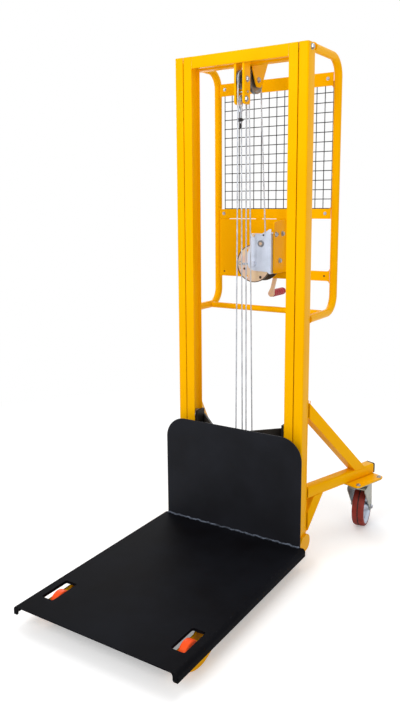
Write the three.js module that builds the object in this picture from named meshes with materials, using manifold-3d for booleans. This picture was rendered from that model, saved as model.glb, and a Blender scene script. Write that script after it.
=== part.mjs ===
// Winch material lift: a hand-cranked stacker with a two-stage mast, a loading deck and a push hoop.
// Millimetres, +X to the right seen from the deck, +Y from the deck to the user, +Z up, floor at zero.
// The drawing plane y = 0 is the front face of the masts. The last lines move the origin to the
// middle of the lift's footprint on the floor.
import * as THREE from 'three';
import { mergeVertices } from 'three/addons/utils/BufferGeometryUtils.js';
import Module from 'manifold-3d';

const wasm = await Module();
wasm.setup();

// Fits and cutting
const seat = 0.3;
const running = 0.4;
const overrun = 6;

// Facets
const facets = {
  corner: 2, hexagon: 6, bolt: 8, pin: 12, roller: 16, sheave: 16, wheel: 20, drum: 30, tube: 10, rope: 8,
  strand: 6, bend: 4, lobe: 6, round: 8, wrap: 12, turn: 10, loop: 16,
};

// Outer mast, two channels that open towards each other
const channel = { outerX: 255, width: 33, depth: 55, wall: 3, corner: 6, foot: 30, top: 1757 };

// Inner mast, two I-sections that run between the channels
const rail = { gap: 3, width: 33, flange: 3.5, web: 5, webInset: 14, corner: 2, foot: 92 };

// Cross beams of rectangular tube
const beam = { wall: 2.5, corner: 3 };
const innerHead = { height: 40, depth: 20 };
const outerHead = { height: 38, depth: 36, standOff: 7.2 };
const innerFoot = { height: 30, depth: 25, drop: 4, endInset: 8 };
const baseTube = { size: 36, front: 12, floorGap: 38 };

// Guide blocks at the top of the channels and their through bolts
const guide = { height: 28, thickness: 11, play: 0.3, boltRadius: 5, nutRadius: 9.5, nutHeight: 7 };

// Rollers
const mastRoller = { width: 24, rise: 28, pinRadius: 8, bossRadius: 13 };
const carriageRoller = { width: 11, lowZ: 140, highZ: 462, pinRadius: 8 };

// Wire rope and its sheaves
const rope = { radius: 2.5, groovePlay: 0.5, sidePlay: 0.6 };
const sheaveForm = {
  rimOver: 3.5, rimLip: 2.3, hubHalf: 8, hubRadius: 12, webHalf: 3.4,
  get grooveHalf() { return rope.radius + rope.sidePlay; },
  get rimHalf() { return this.grooveHalf + this.rimLip; },
};
const topSheave = { pitch: 42.5, x: 0, y: 120.5, drop: 81, get z() { return channel.top - this.drop; } };
const earSheave = { pitch: 28, x: 0, y: 29, drop: 90, get z() { return channel.top - this.drop; } };
const footSheave = { pitch: 25.5, x: 5, y: 82.5, z: 164 };
const carriageSheave = { pitch: 25.5, x: -8, y: 26.5, z: 205 };
const sheavePin = { radius: 6, headRadius: 10, headHeight: 6 };

// Ears under the inner head beam
const ear = {
  inner: 12, thickness: 8, front: 8, back: 50, bend: 12, topDrop: 7, bottomDrop: 172,
  get top() { return channel.top - this.topDrop; },
  get bottom() { return channel.top - this.bottomDrop; },
};
const anchor = { y: 22, drop: 155, get z() { return channel.top - this.drop; } };
const keeper = { radius: 4, drop: 131, get z() { return channel.top - this.drop; } };

// Rope eye on the anchor bolt
const eye = {
  radius: 12, neck: 26, strandGap: 0.5, thimbleHalf: 3.4, lowDrop: 122, tailDrop: 95,
  get strand() { return rope.radius + this.strandGap; },
  get low() { return anchor.z - this.lowDrop; },
  get tail() { return anchor.z - this.tailDrop; },
};
const clip = {
  width: 16, depth: 20, height: 11, upperDrop: 36, lowerDrop: 68,
  get upperZ() { return anchor.z - this.upperDrop; },
  get lowerZ() { return anchor.z - this.lowerDrop; },
};

// Cheeks of the top sheave
const cheek = {
  inner: 10, thickness: 4, front: 77, back: 190, lip: 14, footHalf: 18, footRun: 27, topDrop: 5, footDrop: 24,
  get top() { return channel.top - this.topDrop; },
  get bottom() { return topSheave.z - this.footDrop; },
};

// Loading deck
const deck = {
  halfWidth: 297.5, top: 76, thickness: 4, front: -828, back: -47, flange: 27, bend: 12,
};
const deckWindow = {
  innerSide: 4, outerSide: 8, frontGap: 17, backGap: 18, lip: 10, lipWall: 3, corner: 5,
  get inner() { return channel.outerX - channel.width - this.innerSide; },
  get outer() { return channel.outerX + this.outerSide; },
  get front() { return legRoller.y - legRoller.radius - this.frontGap; },
  get back() { return legRoller.y + legRoller.radius + this.backGap; },
};

// Backrest
const backrest = { halfWidth: 278.6, front: -52, thickness: 5, top: 465, corner: 80, bead: 5 };

// Carriage frame behind the backrest
const carriage = {
  barGap: 3, barWidth: 10, barFront: 6, barBack: 50, low: 100, high: 486,
  get barOuter() { return railInnerX - this.barGap; },
  get barInner() { return this.barOuter - this.barWidth; },
};
const gusset = {
  thickness: 7, restX: 80, low: 110, barInset: 5, backInset: 6,
  get restY() { return backrest.front + backrest.thickness + seat; },
  get barX() { return carriage.barInner - this.barInset; },
  get barY() { return carriage.barBack - this.backInset; },
};
const sheaveFork = { wing: 10, thickness: 4, radius: 16, height: 70, play: 1, footPlay: 2, pinEnd: 2 };

// Base legs
const leg = {
  plate: 8, lobeRadius: 30, lobeY: 38, lobeZ: 55, top: 60, bottom: 22, front: -752, noseTop: 48, stepY: -606,
  stepRun: 24,
};
const legRoller = { y: -692, radius: 37, halfWidth: 14, pinRadius: 8, pinEnd: 2, chamfer: 3, tread: 8 };
const legLobe = { radius: 110, shift: 7, lowest: 2, get y() { return legRoller.y + this.shift; } };
const legTie = {
  rearGap: 15, frontGap: 9, thickness: 6, low: 18, high: 42,
  get rearY() { return legRoller.y + legRoller.radius + this.rearGap; },
  get frontY() { return legRoller.y - legRoller.radius - this.frontGap; },
};

// Rear outriggers
const outrigger = {
  inset: 16, headroom: 54, splay: 18, tube: 40, wall: 3, corner: 6, length: 380, lead: 24, boreLead: 30,
  get x() { return channel.outerX - this.inset; },
  get low() { return 2 * castor.radius + this.headroom; },
};
const brace = { mastTop: 572, armReach: 325 };
const knee = { mastLow: 83, armReach: 84 };
const footPlate = { across: 110, along: 160, thickness: 6, reach: 302, side: 14, corner: 14 };
const plug = { head: 3.5, shank: 14 };

// Swivel castors
const castor = { radius: 80, halfWidth: 23, trail: 60, heading: 7 };
const castorWheel = {
  tread: 11, rim: 11, dishDepth: 11, hubRadius: 19, shoulder: 4, shoulderDrop: 2, crown: 11,
  get rimRadius() { return castor.radius - this.tread; },
  get dishRadius() { return this.rimRadius - this.rim; },
};
const castorPlate = { across: 104, along: 150, thickness: 4, corner: 10, raceRadius: 38, raceHeight: 7 };
const kingpin = { radius: 7, nutRadius: 12, nutHeight: 5 };
const fork = {
  head: 38, headHeight: 8, crown: 5, crownDrop: 10, legInner: 31, leg: 4, eyeRadius: 17, shoulder: 48,
  back: 62,
};
const axle = { radius: 6, nutRadius: 10, nutHeight: 8 };

// Push hoop
const hoop = {
  inset: 10.6, y: 277, low: 862, radius: 14, bend: 62, topDrop: 10,
  get x() { return channel.outerX - this.inset; },
  get top() { return channel.top - this.topDrop; },
};
const hoopBar = { radius: 11, y: 205 };

// Guard mesh, its bars and the winch panel
const bar = { inset: 7, thickness: 4.5, fillet: 8, get back() { return hoop.y - this.inset; } };
const meshTopBar = {
  height: 45, drop: 55,
  get high() { return channel.top - this.drop; },
  get low() { return this.high - this.height; },
};
const meshLowBar = {
  height: 35.7,
  get low() { return panel.high + seat; },
  get high() { return this.low + this.height; },
};
const panel = { low: 972, strip: 1008, high: 1197, left: -230, right: 72, corner: 10 };
const barHole = { x: 212, radius: 3.5 };
const mesh = {
  pitch: 32, wire: 3.2,
  get low() { return meshLowBar.high; },
  get rows() { return Math.floor((meshTopBar.high - this.low) / this.pitch); },
  get columns() { return Math.floor((2 * (hoop.x - hoop.radius)) / this.pitch) - 1; },
};

// Winch bracket, a folded plate on the panel
const bracket = {
  x: 77, thickness: 4.6, front: 128, low: 1004, highFront: 1189, highBack: 1198, flange: 28, corner: 9,
};
const bracketHole = { radius: 4.5, front: 150, middle: 181, rear: 207, low: 1046, high: 1144 };

// Winch frame, a U of zinc-plated sheet
const frame = {
  front: 112, back: 208, sheet: 3, left: -12, low: 1011, high: 1148, tab: 1164, tabRun: 30, corner: 6,
  baseLow: 1004, flapLeft: -23, flapHigh: 1076, flapStep: 1096, flapStart: 190, flapEnd: 255,
  holeX: 42, holeZ: 1142, holeRadius: 3.6,
};
const drumAxle = { x: 0, z: 1039, radius: 7, headRadius: 11, headHeight: 3.4 };
const pinionAxle = { x: 32, z: 1112, radius: 6 };

// Drum and gears
const drum = { front: 117, flange: 3, flangeRadius: 68.5, core: 44, rear: 191.3, hubPlay: 0.3 };
const winding = {
  lift: 1, sidePlay: 2.3, firstStep: 1.6, gap: 0.6, endRoom: 9, leastBend: 3, mostBend: 6,
  get radius() { return drum.core + rope.radius + this.lift; },
  get first() { return drum.front + drum.flange + rope.radius + this.sidePlay; },
  get second() { return this.first + 2 * rope.radius + this.firstStep; },
  get pitch() { return 2 * rope.radius + this.gap; },
  get turns() { return 1 + Math.floor((drum.rear - this.endRoom - this.second) / this.pitch); },
};
const gear = {
  module: 2.5, wheelTeeth: 52, pinionTeeth: 12, face: 8, backlash: 0.5,
  addendum: 0.9, dedendum: 1.15, rootShare: 0.32, tipShare: 0.14,
};

// Crank
const crank = { length: 210, tilt: 14, thickness: 8, y: 294.5, hubRadius: 15, endRadius: 13 };
const crankWasher = { radius: 12, thickness: 4 };
const grip = {
  radius: 14.5, waist: 13, length: 98, ribs: 5, ribShare: 0.4, pinRadius: 5, capRadius: 9, capHeight: 4,
};

// Derived places
const railOuterX = channel.outerX - channel.width - rail.gap;
const railInnerX = railOuterX - rail.width;
const webInnerX = railInnerX + rail.webInset;
const webOuterX = webInnerX + rail.web;
const mastBack = channel.depth;
const rollerTrack = channel.depth - rail.flange - rail.flange;
const mastTrack = channel.depth - channel.wall - channel.wall;

// Colours and finishes
function paint(colour, roughness, metalness) {
  return new THREE.MeshStandardMaterial({ color: colour, roughness, metalness });
}

const finish = {
  yellow: paint(0xf6b400, 0.35, 0.1),
  black: paint(0x1d1c20, 0.45, 0.2),
  zinc: paint(0xa9b0b8, 0.4, 0.9),
  gold: paint(0xb09a6a, 0.35, 0.9),
  wire: paint(0x2a2a2c, 0.5, 0.6),
  rope: paint(0xb9bcc0, 0.4, 0.8),
  red: paint(0xb02030, 0.5, 0),
  orange: paint(0xf2502a, 0.5, 0),
  tread: paint(0x9c2f26, 0.6, 0),
  nylon: paint(0x2b2c2e, 0.6, 0),
  steel: paint(0x6f7276, 0.45, 0.9),
};

const group = new THREE.Group();

// Adds a named mesh to the lift or to a sub-assembly
function place(name, geometry, material, parent = group) {
  const piece = new THREE.Mesh(geometry, material.clone());
  piece.name = name;
  parent.add(piece);
  return piece;
}

// Solid from a closed geometry
function solid(geometry) {
  const bare = geometry.clone();
  bare.deleteAttribute('normal');
  bare.deleteAttribute('uv');
  const merged = mergeVertices(bare);
  return new wasm.Manifold(new wasm.Mesh({
    numProp: 3,
    vertProperties: new Float32Array(merged.attributes.position.array),
    triVerts: new Uint32Array(merged.index.array),
  }));
}

// Geometry from a solid
function geometryOf(body) {
  const data = body.getMesh();
  const geometry = new THREE.BufferGeometry();
  geometry.setAttribute('position', new THREE.BufferAttribute(new Float32Array(data.vertProperties), 3));
  geometry.setIndex(new THREE.BufferAttribute(new Uint32Array(data.triVerts), 1));
  return geometry;
}

// Join and cut of geometries
function join(...geometries) {
  return geometryOf(geometries.map(solid).reduce((sum, next) => sum.add(next)));
}

function cut(geometry, ...tools) {
  return geometryOf(tools.map(solid).reduce((rest, tool) => rest.subtract(tool), solid(geometry)));
}

function common(geometry, tool) {
  return geometryOf(solid(geometry).intersect(solid(tool)));
}

// The left-hand twin of a right-hand piece
function mirrored(geometry) {
  const twin = geometry.index ? geometry.toNonIndexed() : geometry.clone();
  twin.applyMatrix4(new THREE.Matrix4().makeScale(-1, 1, 1));
  const points = twin.attributes.position;
  for (let corner = 0; corner < points.count; corner += 3) {
    const swap = new THREE.Vector3().fromBufferAttribute(points, corner + 1);
    const other = new THREE.Vector3().fromBufferAttribute(points, corner + 2);
    points.setXYZ(corner + 1, other.x, other.y, other.z);
    points.setXYZ(corner + 2, swap.x, swap.y, swap.z);
  }
  return twin;
}

// Right-hand piece and its twin
function pair(name, geometry, material, parent = group) {
  place(`${name}_right`, geometry, material, parent);
  place(`${name}_left`, mirrored(geometry), material, parent);
}

// Turns that carry an extrusion along +Z to another axis
const alongX = new THREE.Matrix4().makeBasis(
  new THREE.Vector3(0, 1, 0), new THREE.Vector3(0, 0, 1), new THREE.Vector3(1, 0, 0));
const alongY = new THREE.Matrix4().makeBasis(
  new THREE.Vector3(0, 0, 1), new THREE.Vector3(1, 0, 0), new THREE.Vector3(0, 1, 0));

// Flat outline from points
function outline(points) {
  return new THREE.Shape(points.map(([a, b]) => new THREE.Vector2(a, b)));
}

// Prism along z from an outline in x and y, with holes cut right through it
function prismZ(points, from, to, holes = []) {
  const depth = to - from;
  const geometry = new THREE.ExtrudeGeometry(outline(points), { depth, bevelEnabled: false });
  geometry.translate(0, 0, from);
  const cutters = holes.map((hole) => prismZ(hole, from - overrun, to + overrun));
  return holes.length > 0 ? cut(geometry, ...cutters) : geometry;
}

// Prism along x from an outline in y and z
function prismX(points, from, to, holes = []) {
  return prismZ(points, from, to, holes).applyMatrix4(alongX);
}

// Prism along y from an outline in x and z
function prismY(points, from, to, holes = []) {
  const turn = (list) => list.map(([x, z]) => [z, x]);
  return prismZ(turn(points), from, to, holes.map(turn)).applyMatrix4(alongY);
}

// Box between two corners
function block(x0, x1, y0, y1, z0, z1) {
  const geometry = new THREE.BoxGeometry(x1 - x0, y1 - y0, z1 - z0);
  return geometry.translate((x0 + x1) / 2, (y0 + y1) / 2, (z0 + z1) / 2);
}

// Points of an arc
function arc(a, b, radius, start, end, steps = facets.corner) {
  const points = [];
  for (let step = 0; step <= steps; step += 1) {
    const angle = THREE.MathUtils.degToRad(start + ((end - start) * step) / steps);
    points.push([a + radius * Math.cos(angle), b + radius * Math.sin(angle)]);
  }
  return points;
}

// Rectangle with round corners
function rounded(a0, a1, b0, b1, radius, steps = facets.corner) {
  return [
    ...arc(a1 - radius, b0 + radius, radius, -90, 0, steps),
    ...arc(a1 - radius, b1 - radius, radius, 0, 90, steps),
    ...arc(a0 + radius, b1 - radius, radius, 90, 180, steps),
    ...arc(a0 + radius, b0 + radius, radius, 180, 270, steps),
  ];
}

// Circle as an outline, with a corner on each axis
function circle(a, b, radius, sides = facets.pin) {
  return arc(a, b, radius, 0, 360, sides).slice(0, sides);
}

// Bore that a shaft of the given radius turns in, whatever the facets
function boreFor(radius, play = running, sides = facets.roller) {
  return radius / Math.cos(Math.PI / sides) + play;
}

// Turned piece about an axis through the origin: profile of [radius, height]
function turned(profile, sides, axis = 'z') {
  const points = profile.map(([radius, height]) => new THREE.Vector2(radius, height));
  const geometry = new THREE.LatheGeometry(points, sides);
  geometry.rotateX(Math.PI / 2);
  if (axis === 'x') {
    geometry.applyMatrix4(alongX);
  }
  if (axis === 'y') {
    geometry.applyMatrix4(alongY);
  }
  return geometry;
}

// Closed ring profile: the last point is the first one
function ring(...profile) {
  return [...profile, profile[0]];
}

// Round pin between two stations on one axis
function pinX(y, z, radius, from, to, sides = facets.bolt) {
  return prismX(circle(y, z, radius, sides), from, to);
}

function pinY(x, z, radius, from, to, sides = facets.pin) {
  return prismY(circle(x, z, radius, sides), from, to);
}

function pinZ(x, y, radius, from, to, sides = facets.pin) {
  return prismZ(circle(x, y, radius, sides), from, to);
}

// Path through stations that carry their own direction, so that straight runs stay undivided
class StationPath extends THREE.Curve {
  constructor(stations) {
    super();
    this.stations = stations;
  }

  station(share) {
    const last = this.stations.length - 1;
    return this.stations[Math.min(last, Math.max(0, Math.round(share * last)))];
  }

  getPoint(share, target = new THREE.Vector3()) {
    return target.copy(this.station(share).point);
  }

  getPointAt(share, target) {
    return this.getPoint(share, target);
  }

  getTangent(share, target = new THREE.Vector3()) {
    return target.copy(this.station(share).direction);
  }

  getTangentAt(share, target) {
    return this.getTangent(share, target);
  }
}

// Stations of a run with bent corners
function bentRun(corners, radius, steps = facets.bend) {
  const points = corners.map((corner) => new THREE.Vector3(...corner));
  const stations = [];
  points.forEach((point, index) => {
    const before = index > 0 ? point.clone().sub(points[index - 1]).normalize() : null;
    const after = index < points.length - 1 ? points[index + 1].clone().sub(point).normalize() : null;
    if (!before || !after) {
      stations.push({ point, direction: before || after });
      return;
    }
    const turn = before.angleTo(after);
    const reach = radius * Math.tan(turn / 2);
    const side = after.clone().addScaledVector(before, -before.dot(after)).normalize();
    const centre = point.clone().addScaledVector(before, -reach).addScaledVector(side, radius);
    for (let step = 0; step <= steps; step += 1) {
      const angle = (turn * step) / steps;
      stations.push({
        point: centre.clone()
          .addScaledVector(side, -radius * Math.cos(angle))
          .addScaledVector(before, radius * Math.sin(angle)),
        direction: before.clone().multiplyScalar(Math.cos(angle)).addScaledVector(side, Math.sin(angle)),
      });
    }
  });
  return stations;
}

// Stations of a rope bent round a sheave in its plane x, angles in degrees from +Y towards +Z
function sheaveWrap(sheave, start, end, steps = facets.wrap) {
  const stations = [];
  const sense = Math.sign(end - start);
  for (let step = 0; step <= steps; step += 1) {
    const angle = THREE.MathUtils.degToRad(start + ((end - start) * step) / steps);
    stations.push({
      point: new THREE.Vector3(
        sheave.x,
        sheave.y + sheave.pitch * Math.cos(angle),
        sheave.z + sheave.pitch * Math.sin(angle),
      ),
      direction: new THREE.Vector3(0, -Math.sin(angle) * sense, Math.cos(angle) * sense),
    });
  }
  return stations;
}

// Round bar along stations
function tube(stations, radius, sides = facets.rope) {
  return new THREE.ExtrudeGeometry(outline(circle(0, 0, radius, sides)), {
    steps: stations.length - 1,
    extrudePath: new StationPath(stations),
    bevelEnabled: false,
  });
}

// Straight rope between two points, drawn back from both ends by the seat gap
function straightRope(from, to) {
  const start = new THREE.Vector3(...from);
  const end = new THREE.Vector3(...to);
  const direction = end.clone().sub(start).normalize();
  return tube([
    { point: start.addScaledVector(direction, seat), direction },
    { point: end.addScaledVector(direction, -seat), direction },
  ], rope.radius);
}

// Rectangular tube along x
function beamX(x0, x1, y0, y1, z0, z1) {
  const { wall, corner } = beam;
  const skin = rounded(y0, y1, z0, z1, corner);
  const bore = rounded(y0 + wall, y1 - wall, z0 + wall, z1 - wall, corner - wall / 2);
  return prismX(skin, x0, x1, [bore]);
}

// Grooved sheave about x, centred on its rope plane
function sheaveGeometry(pitch) {
  const root = pitch - rope.radius - rope.groovePlay;
  const rim = pitch + sheaveForm.rimOver;
  const bore = boreFor(sheavePin.radius, seat);
  const { rimHalf, grooveHalf, hubHalf, hubRadius, webHalf } = sheaveForm;
  const webRim = root - sheaveForm.grooveHalf;
  return turned(ring(
    [bore, -hubHalf],
    [hubRadius, -hubHalf],
    [hubRadius, -webHalf],
    [webRim, -webHalf],
    [rim, -rimHalf],
    [root, -grooveHalf / 2],
    [root, grooveHalf / 2],
    [rim, rimHalf],
    [webRim, webHalf],
    [hubRadius, webHalf],
    [hubRadius, hubHalf],
    [bore, hubHalf],
  ), facets.sheave, 'x');
}

function placeSheave(name, at) {
  place(name, sheaveGeometry(at.pitch), finish.steel).position.set(at.x, at.y, at.z);
}

// Plain roller about x, centred
function rollerGeometry(radius, width, pinRadius) {
  const half = width / 2;
  const bore = boreFor(pinRadius, seat);
  return turned(ring([bore, -half], [radius, -half], [radius, half], [bore, half]), facets.roller, 'x');
}

// Outer mast
function outerChannel() {
  const { outerX, width, depth, wall, corner, foot, top } = channel;
  const mouth = outerX - width;
  const inner = corner - wall;
  const section = [
    [mouth, 0],
    ...arc(outerX - corner, corner, corner, -90, 0),
    ...arc(outerX - corner, depth - corner, corner, 0, 90),
    [mouth, depth],
    [mouth, depth - wall],
    ...arc(outerX - corner, depth - corner, inner, 90, 0),
    ...arc(outerX - corner, corner, inner, 0, -90),
    [mouth, wall],
  ];
  const bolt = { y: depth / 2, z: top - guide.height / 2 };
  const blockInner = webOuterX + rail.corner;
  const nut = circle(bolt.y, bolt.z, guide.nutRadius, facets.hexagon);
  return join(
    prismZ(section, foot, top),
    pinX(bolt.y, bolt.z, guide.boltRadius, blockInner + guide.play, outerX + guide.nutHeight),
    prismX(nut, outerX - wall, outerX + guide.nutHeight - 2 * seat),
  );
}

// Nylon block that guides the inner mast, held by the channel's bolt
function guideBlock() {
  const inner = webOuterX + rail.corner;
  const track = channel.depth - rail.flange - guide.play;
  const bolt = circle(channel.depth / 2, channel.top - guide.height / 2, boreFor(guide.boltRadius, seat));
  return prismX(
    rounded(rail.flange + guide.play, track, channel.top - guide.height, channel.top, rail.corner),
    inner, inner + guide.thickness, [bolt],
  );
}

// Inner mast
function innerRail() {
  const { flange, foot } = rail;
  const depth = channel.depth;
  const section = [
    [railInnerX, 0],
    [railOuterX, 0],
    [railOuterX, flange],
    ...arc(webOuterX + rail.corner, flange + rail.corner, rail.corner, -90, -180),
    ...arc(webOuterX + rail.corner, depth - flange - rail.corner, rail.corner, 180, 90),
    [railOuterX, depth - flange],
    [railOuterX, depth],
    [railInnerX, depth],
    [railInnerX, depth - flange],
    ...arc(webInnerX - rail.corner, depth - flange - rail.corner, rail.corner, 90, 0),
    ...arc(webInnerX - rail.corner, flange + rail.corner, rail.corner, 0, -90),
    [railInnerX, flange],
  ];
  const y = depth / 2;
  const z = foot + mastRoller.rise;
  const rollerIn = channel.outerX - channel.corner - mastRoller.width;
  return join(
    prismZ(section, foot, channel.top),
    pinX(y, z, mastRoller.bossRadius, webOuterX - rail.web / 2, rollerIn - seat),
    pinX(y, z, mastRoller.pinRadius, webOuterX - rail.web / 2, channel.outerX - channel.wall - seat),
  );
}

function buildOuterMast() {
  pair('outer_mast', outerChannel(), finish.yellow);
  pair('guide_block', guideBlock(), finish.nylon);
  const beamFront = mastBack + outerHead.standOff;
  const beamBack = beamFront + outerHead.depth;
  const low = channel.top - outerHead.height;
  const end = hoop.x - hoop.radius - seat;
  const mouth = channel.outerX - channel.width;
  const packing = (side) => block(
    side * (mouth + end) / 2 - (end - mouth) / 2, side * (mouth + end) / 2 + (end - mouth) / 2,
    mastBack + seat, beamFront + beam.wall / 2, low + beam.corner, channel.top - beam.corner,
  );
  const { inner, thickness, front, back, top, lip, bottom, footHalf, footRun } = cheek;
  const profile = [
    [front, low - seat],
    [front + lip / 2, low - lip],
    [topSheave.y - footHalf, bottom + footHalf / 2],
    [topSheave.y - footHalf / 2, bottom],
    [topSheave.y + footHalf, bottom],
    [topSheave.y + footRun, bottom + footHalf / 2],
    [back, top - lip],
    [back, top],
    [beamBack - beam.wall / 2, top],
    [beamBack - beam.wall / 2, low + beam.wall / 2],
    [front, low + beam.wall / 2],
  ];
  const plate = (side) => prismX(profile, Math.min(side * inner, side * (inner + thickness)),
    Math.max(side * inner, side * (inner + thickness)));
  const cap = block(-inner - thickness, inner + thickness, beamBack - beam.wall / 2, back,
    top - thickness, top);
  const reach = inner + thickness + sheavePin.headHeight;
  place('outer_head_beam', join(
    beamX(-end, end, beamFront, beamBack, low, channel.top),
    packing(-1), packing(1), plate(-1), plate(1), cap,
    pinX(topSheave.y, topSheave.z, sheavePin.radius, -reach, reach),
    pinX(topSheave.y, topSheave.z, sheavePin.headRadius, -reach, -inner - thickness / 2, facets.hexagon),
    pinX(topSheave.y, topSheave.z, sheavePin.headRadius, inner + thickness / 2, reach, facets.hexagon),
  ), finish.yellow);
  placeSheave('top_sheave', topSheave);
}

// Inner mast with the ears, the foot beam and both sheaves
function buildInnerMast() {
  pair('inner_mast', innerRail(), finish.yellow);
  const end = railInnerX - seat;
  const low = channel.top - innerHead.height;
  const earOutline = [
    [ear.front, low + beam.wall / 2],
    [innerHead.depth - beam.wall / 2, low + beam.wall / 2],
    [innerHead.depth - beam.wall / 2, ear.top],
    [ear.back - ear.bend, ear.top],
    [ear.back, ear.top - ear.bend],
    [ear.back, ear.bottom + ear.bend],
    [ear.back - ear.bend, ear.bottom],
    [ear.front + ear.bend, ear.bottom],
    [ear.front, ear.bottom + ear.bend],
  ].reverse();
  const outer = ear.inner + ear.thickness;
  const headEnd = outer + sheavePin.headHeight;
  const bolt = (y, z, radius, head) => join(
    pinX(y, z, radius, -headEnd, headEnd),
    pinX(y, z, head, -headEnd, -outer + ear.thickness / 2, facets.hexagon),
    pinX(y, z, head, outer - ear.thickness / 2, headEnd, facets.hexagon),
  );
  place('inner_head_beam', join(
    beamX(-end, end, 0, innerHead.depth, low, channel.top),
    prismX(earOutline, ear.inner, outer),
    prismX(earOutline, -outer, -ear.inner),
    bolt(earSheave.y, earSheave.z, sheavePin.radius, sheavePin.headRadius),
    bolt(anchor.y, anchor.z, sheavePin.radius, sheavePin.headRadius),
    pinX(earSheave.y, keeper.z, keeper.radius, -outer - keeper.radius, outer + keeper.radius),
  ), finish.yellow);
  placeSheave('ear_sheave', earSheave);

  const footLow = rail.foot + innerFoot.drop;
  const footHigh = footLow + innerFoot.height;
  const footEnd = railOuterX - innerFoot.endInset;
  const footFront = mastBack + seat;
  const half = sheaveForm.hubHalf + sheaveFork.footPlay;
  const plateOuter = half + sheaveFork.thickness;
  const plateOutline = [
    [footFront + beam.wall, footHigh - beam.wall / 2],
    [footFront + innerFoot.depth - beam.wall / 2, footHigh - beam.wall / 2],
    [footSheave.y + sheaveFork.radius, footSheave.z - sheaveFork.radius],
    ...arc(footSheave.y, footSheave.z, sheaveFork.radius, 0, 180, facets.bend),
    [footFront + beam.wall, footSheave.z - sheaveFork.radius],
  ];
  place('inner_foot_beam', join(
    beamX(-footEnd, footEnd, footFront, footFront + innerFoot.depth, footLow, footHigh),
    prismX(plateOutline, footSheave.x + half, footSheave.x + plateOuter),
    prismX(plateOutline, footSheave.x - plateOuter, footSheave.x - half),
    pinX(footSheave.y, footSheave.z, sheavePin.radius,
      footSheave.x - plateOuter - sheavePin.headHeight, footSheave.x + plateOuter + sheavePin.headHeight),
  ), finish.yellow);
  placeSheave('foot_sheave', footSheave);

  const rollerX = channel.outerX - channel.corner - mastRoller.width / 2;
  for (const [side, sign] of [['left', -1], ['right', 1]]) {
    place(`mast_roller_${side}`, rollerGeometry(
      mastTrack / 2 - seat, mastRoller.width, mastRoller.pinRadius,
    ), finish.steel).position.set(sign * rollerX, mastBack / 2, rail.foot + mastRoller.rise);
  }
}

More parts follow.
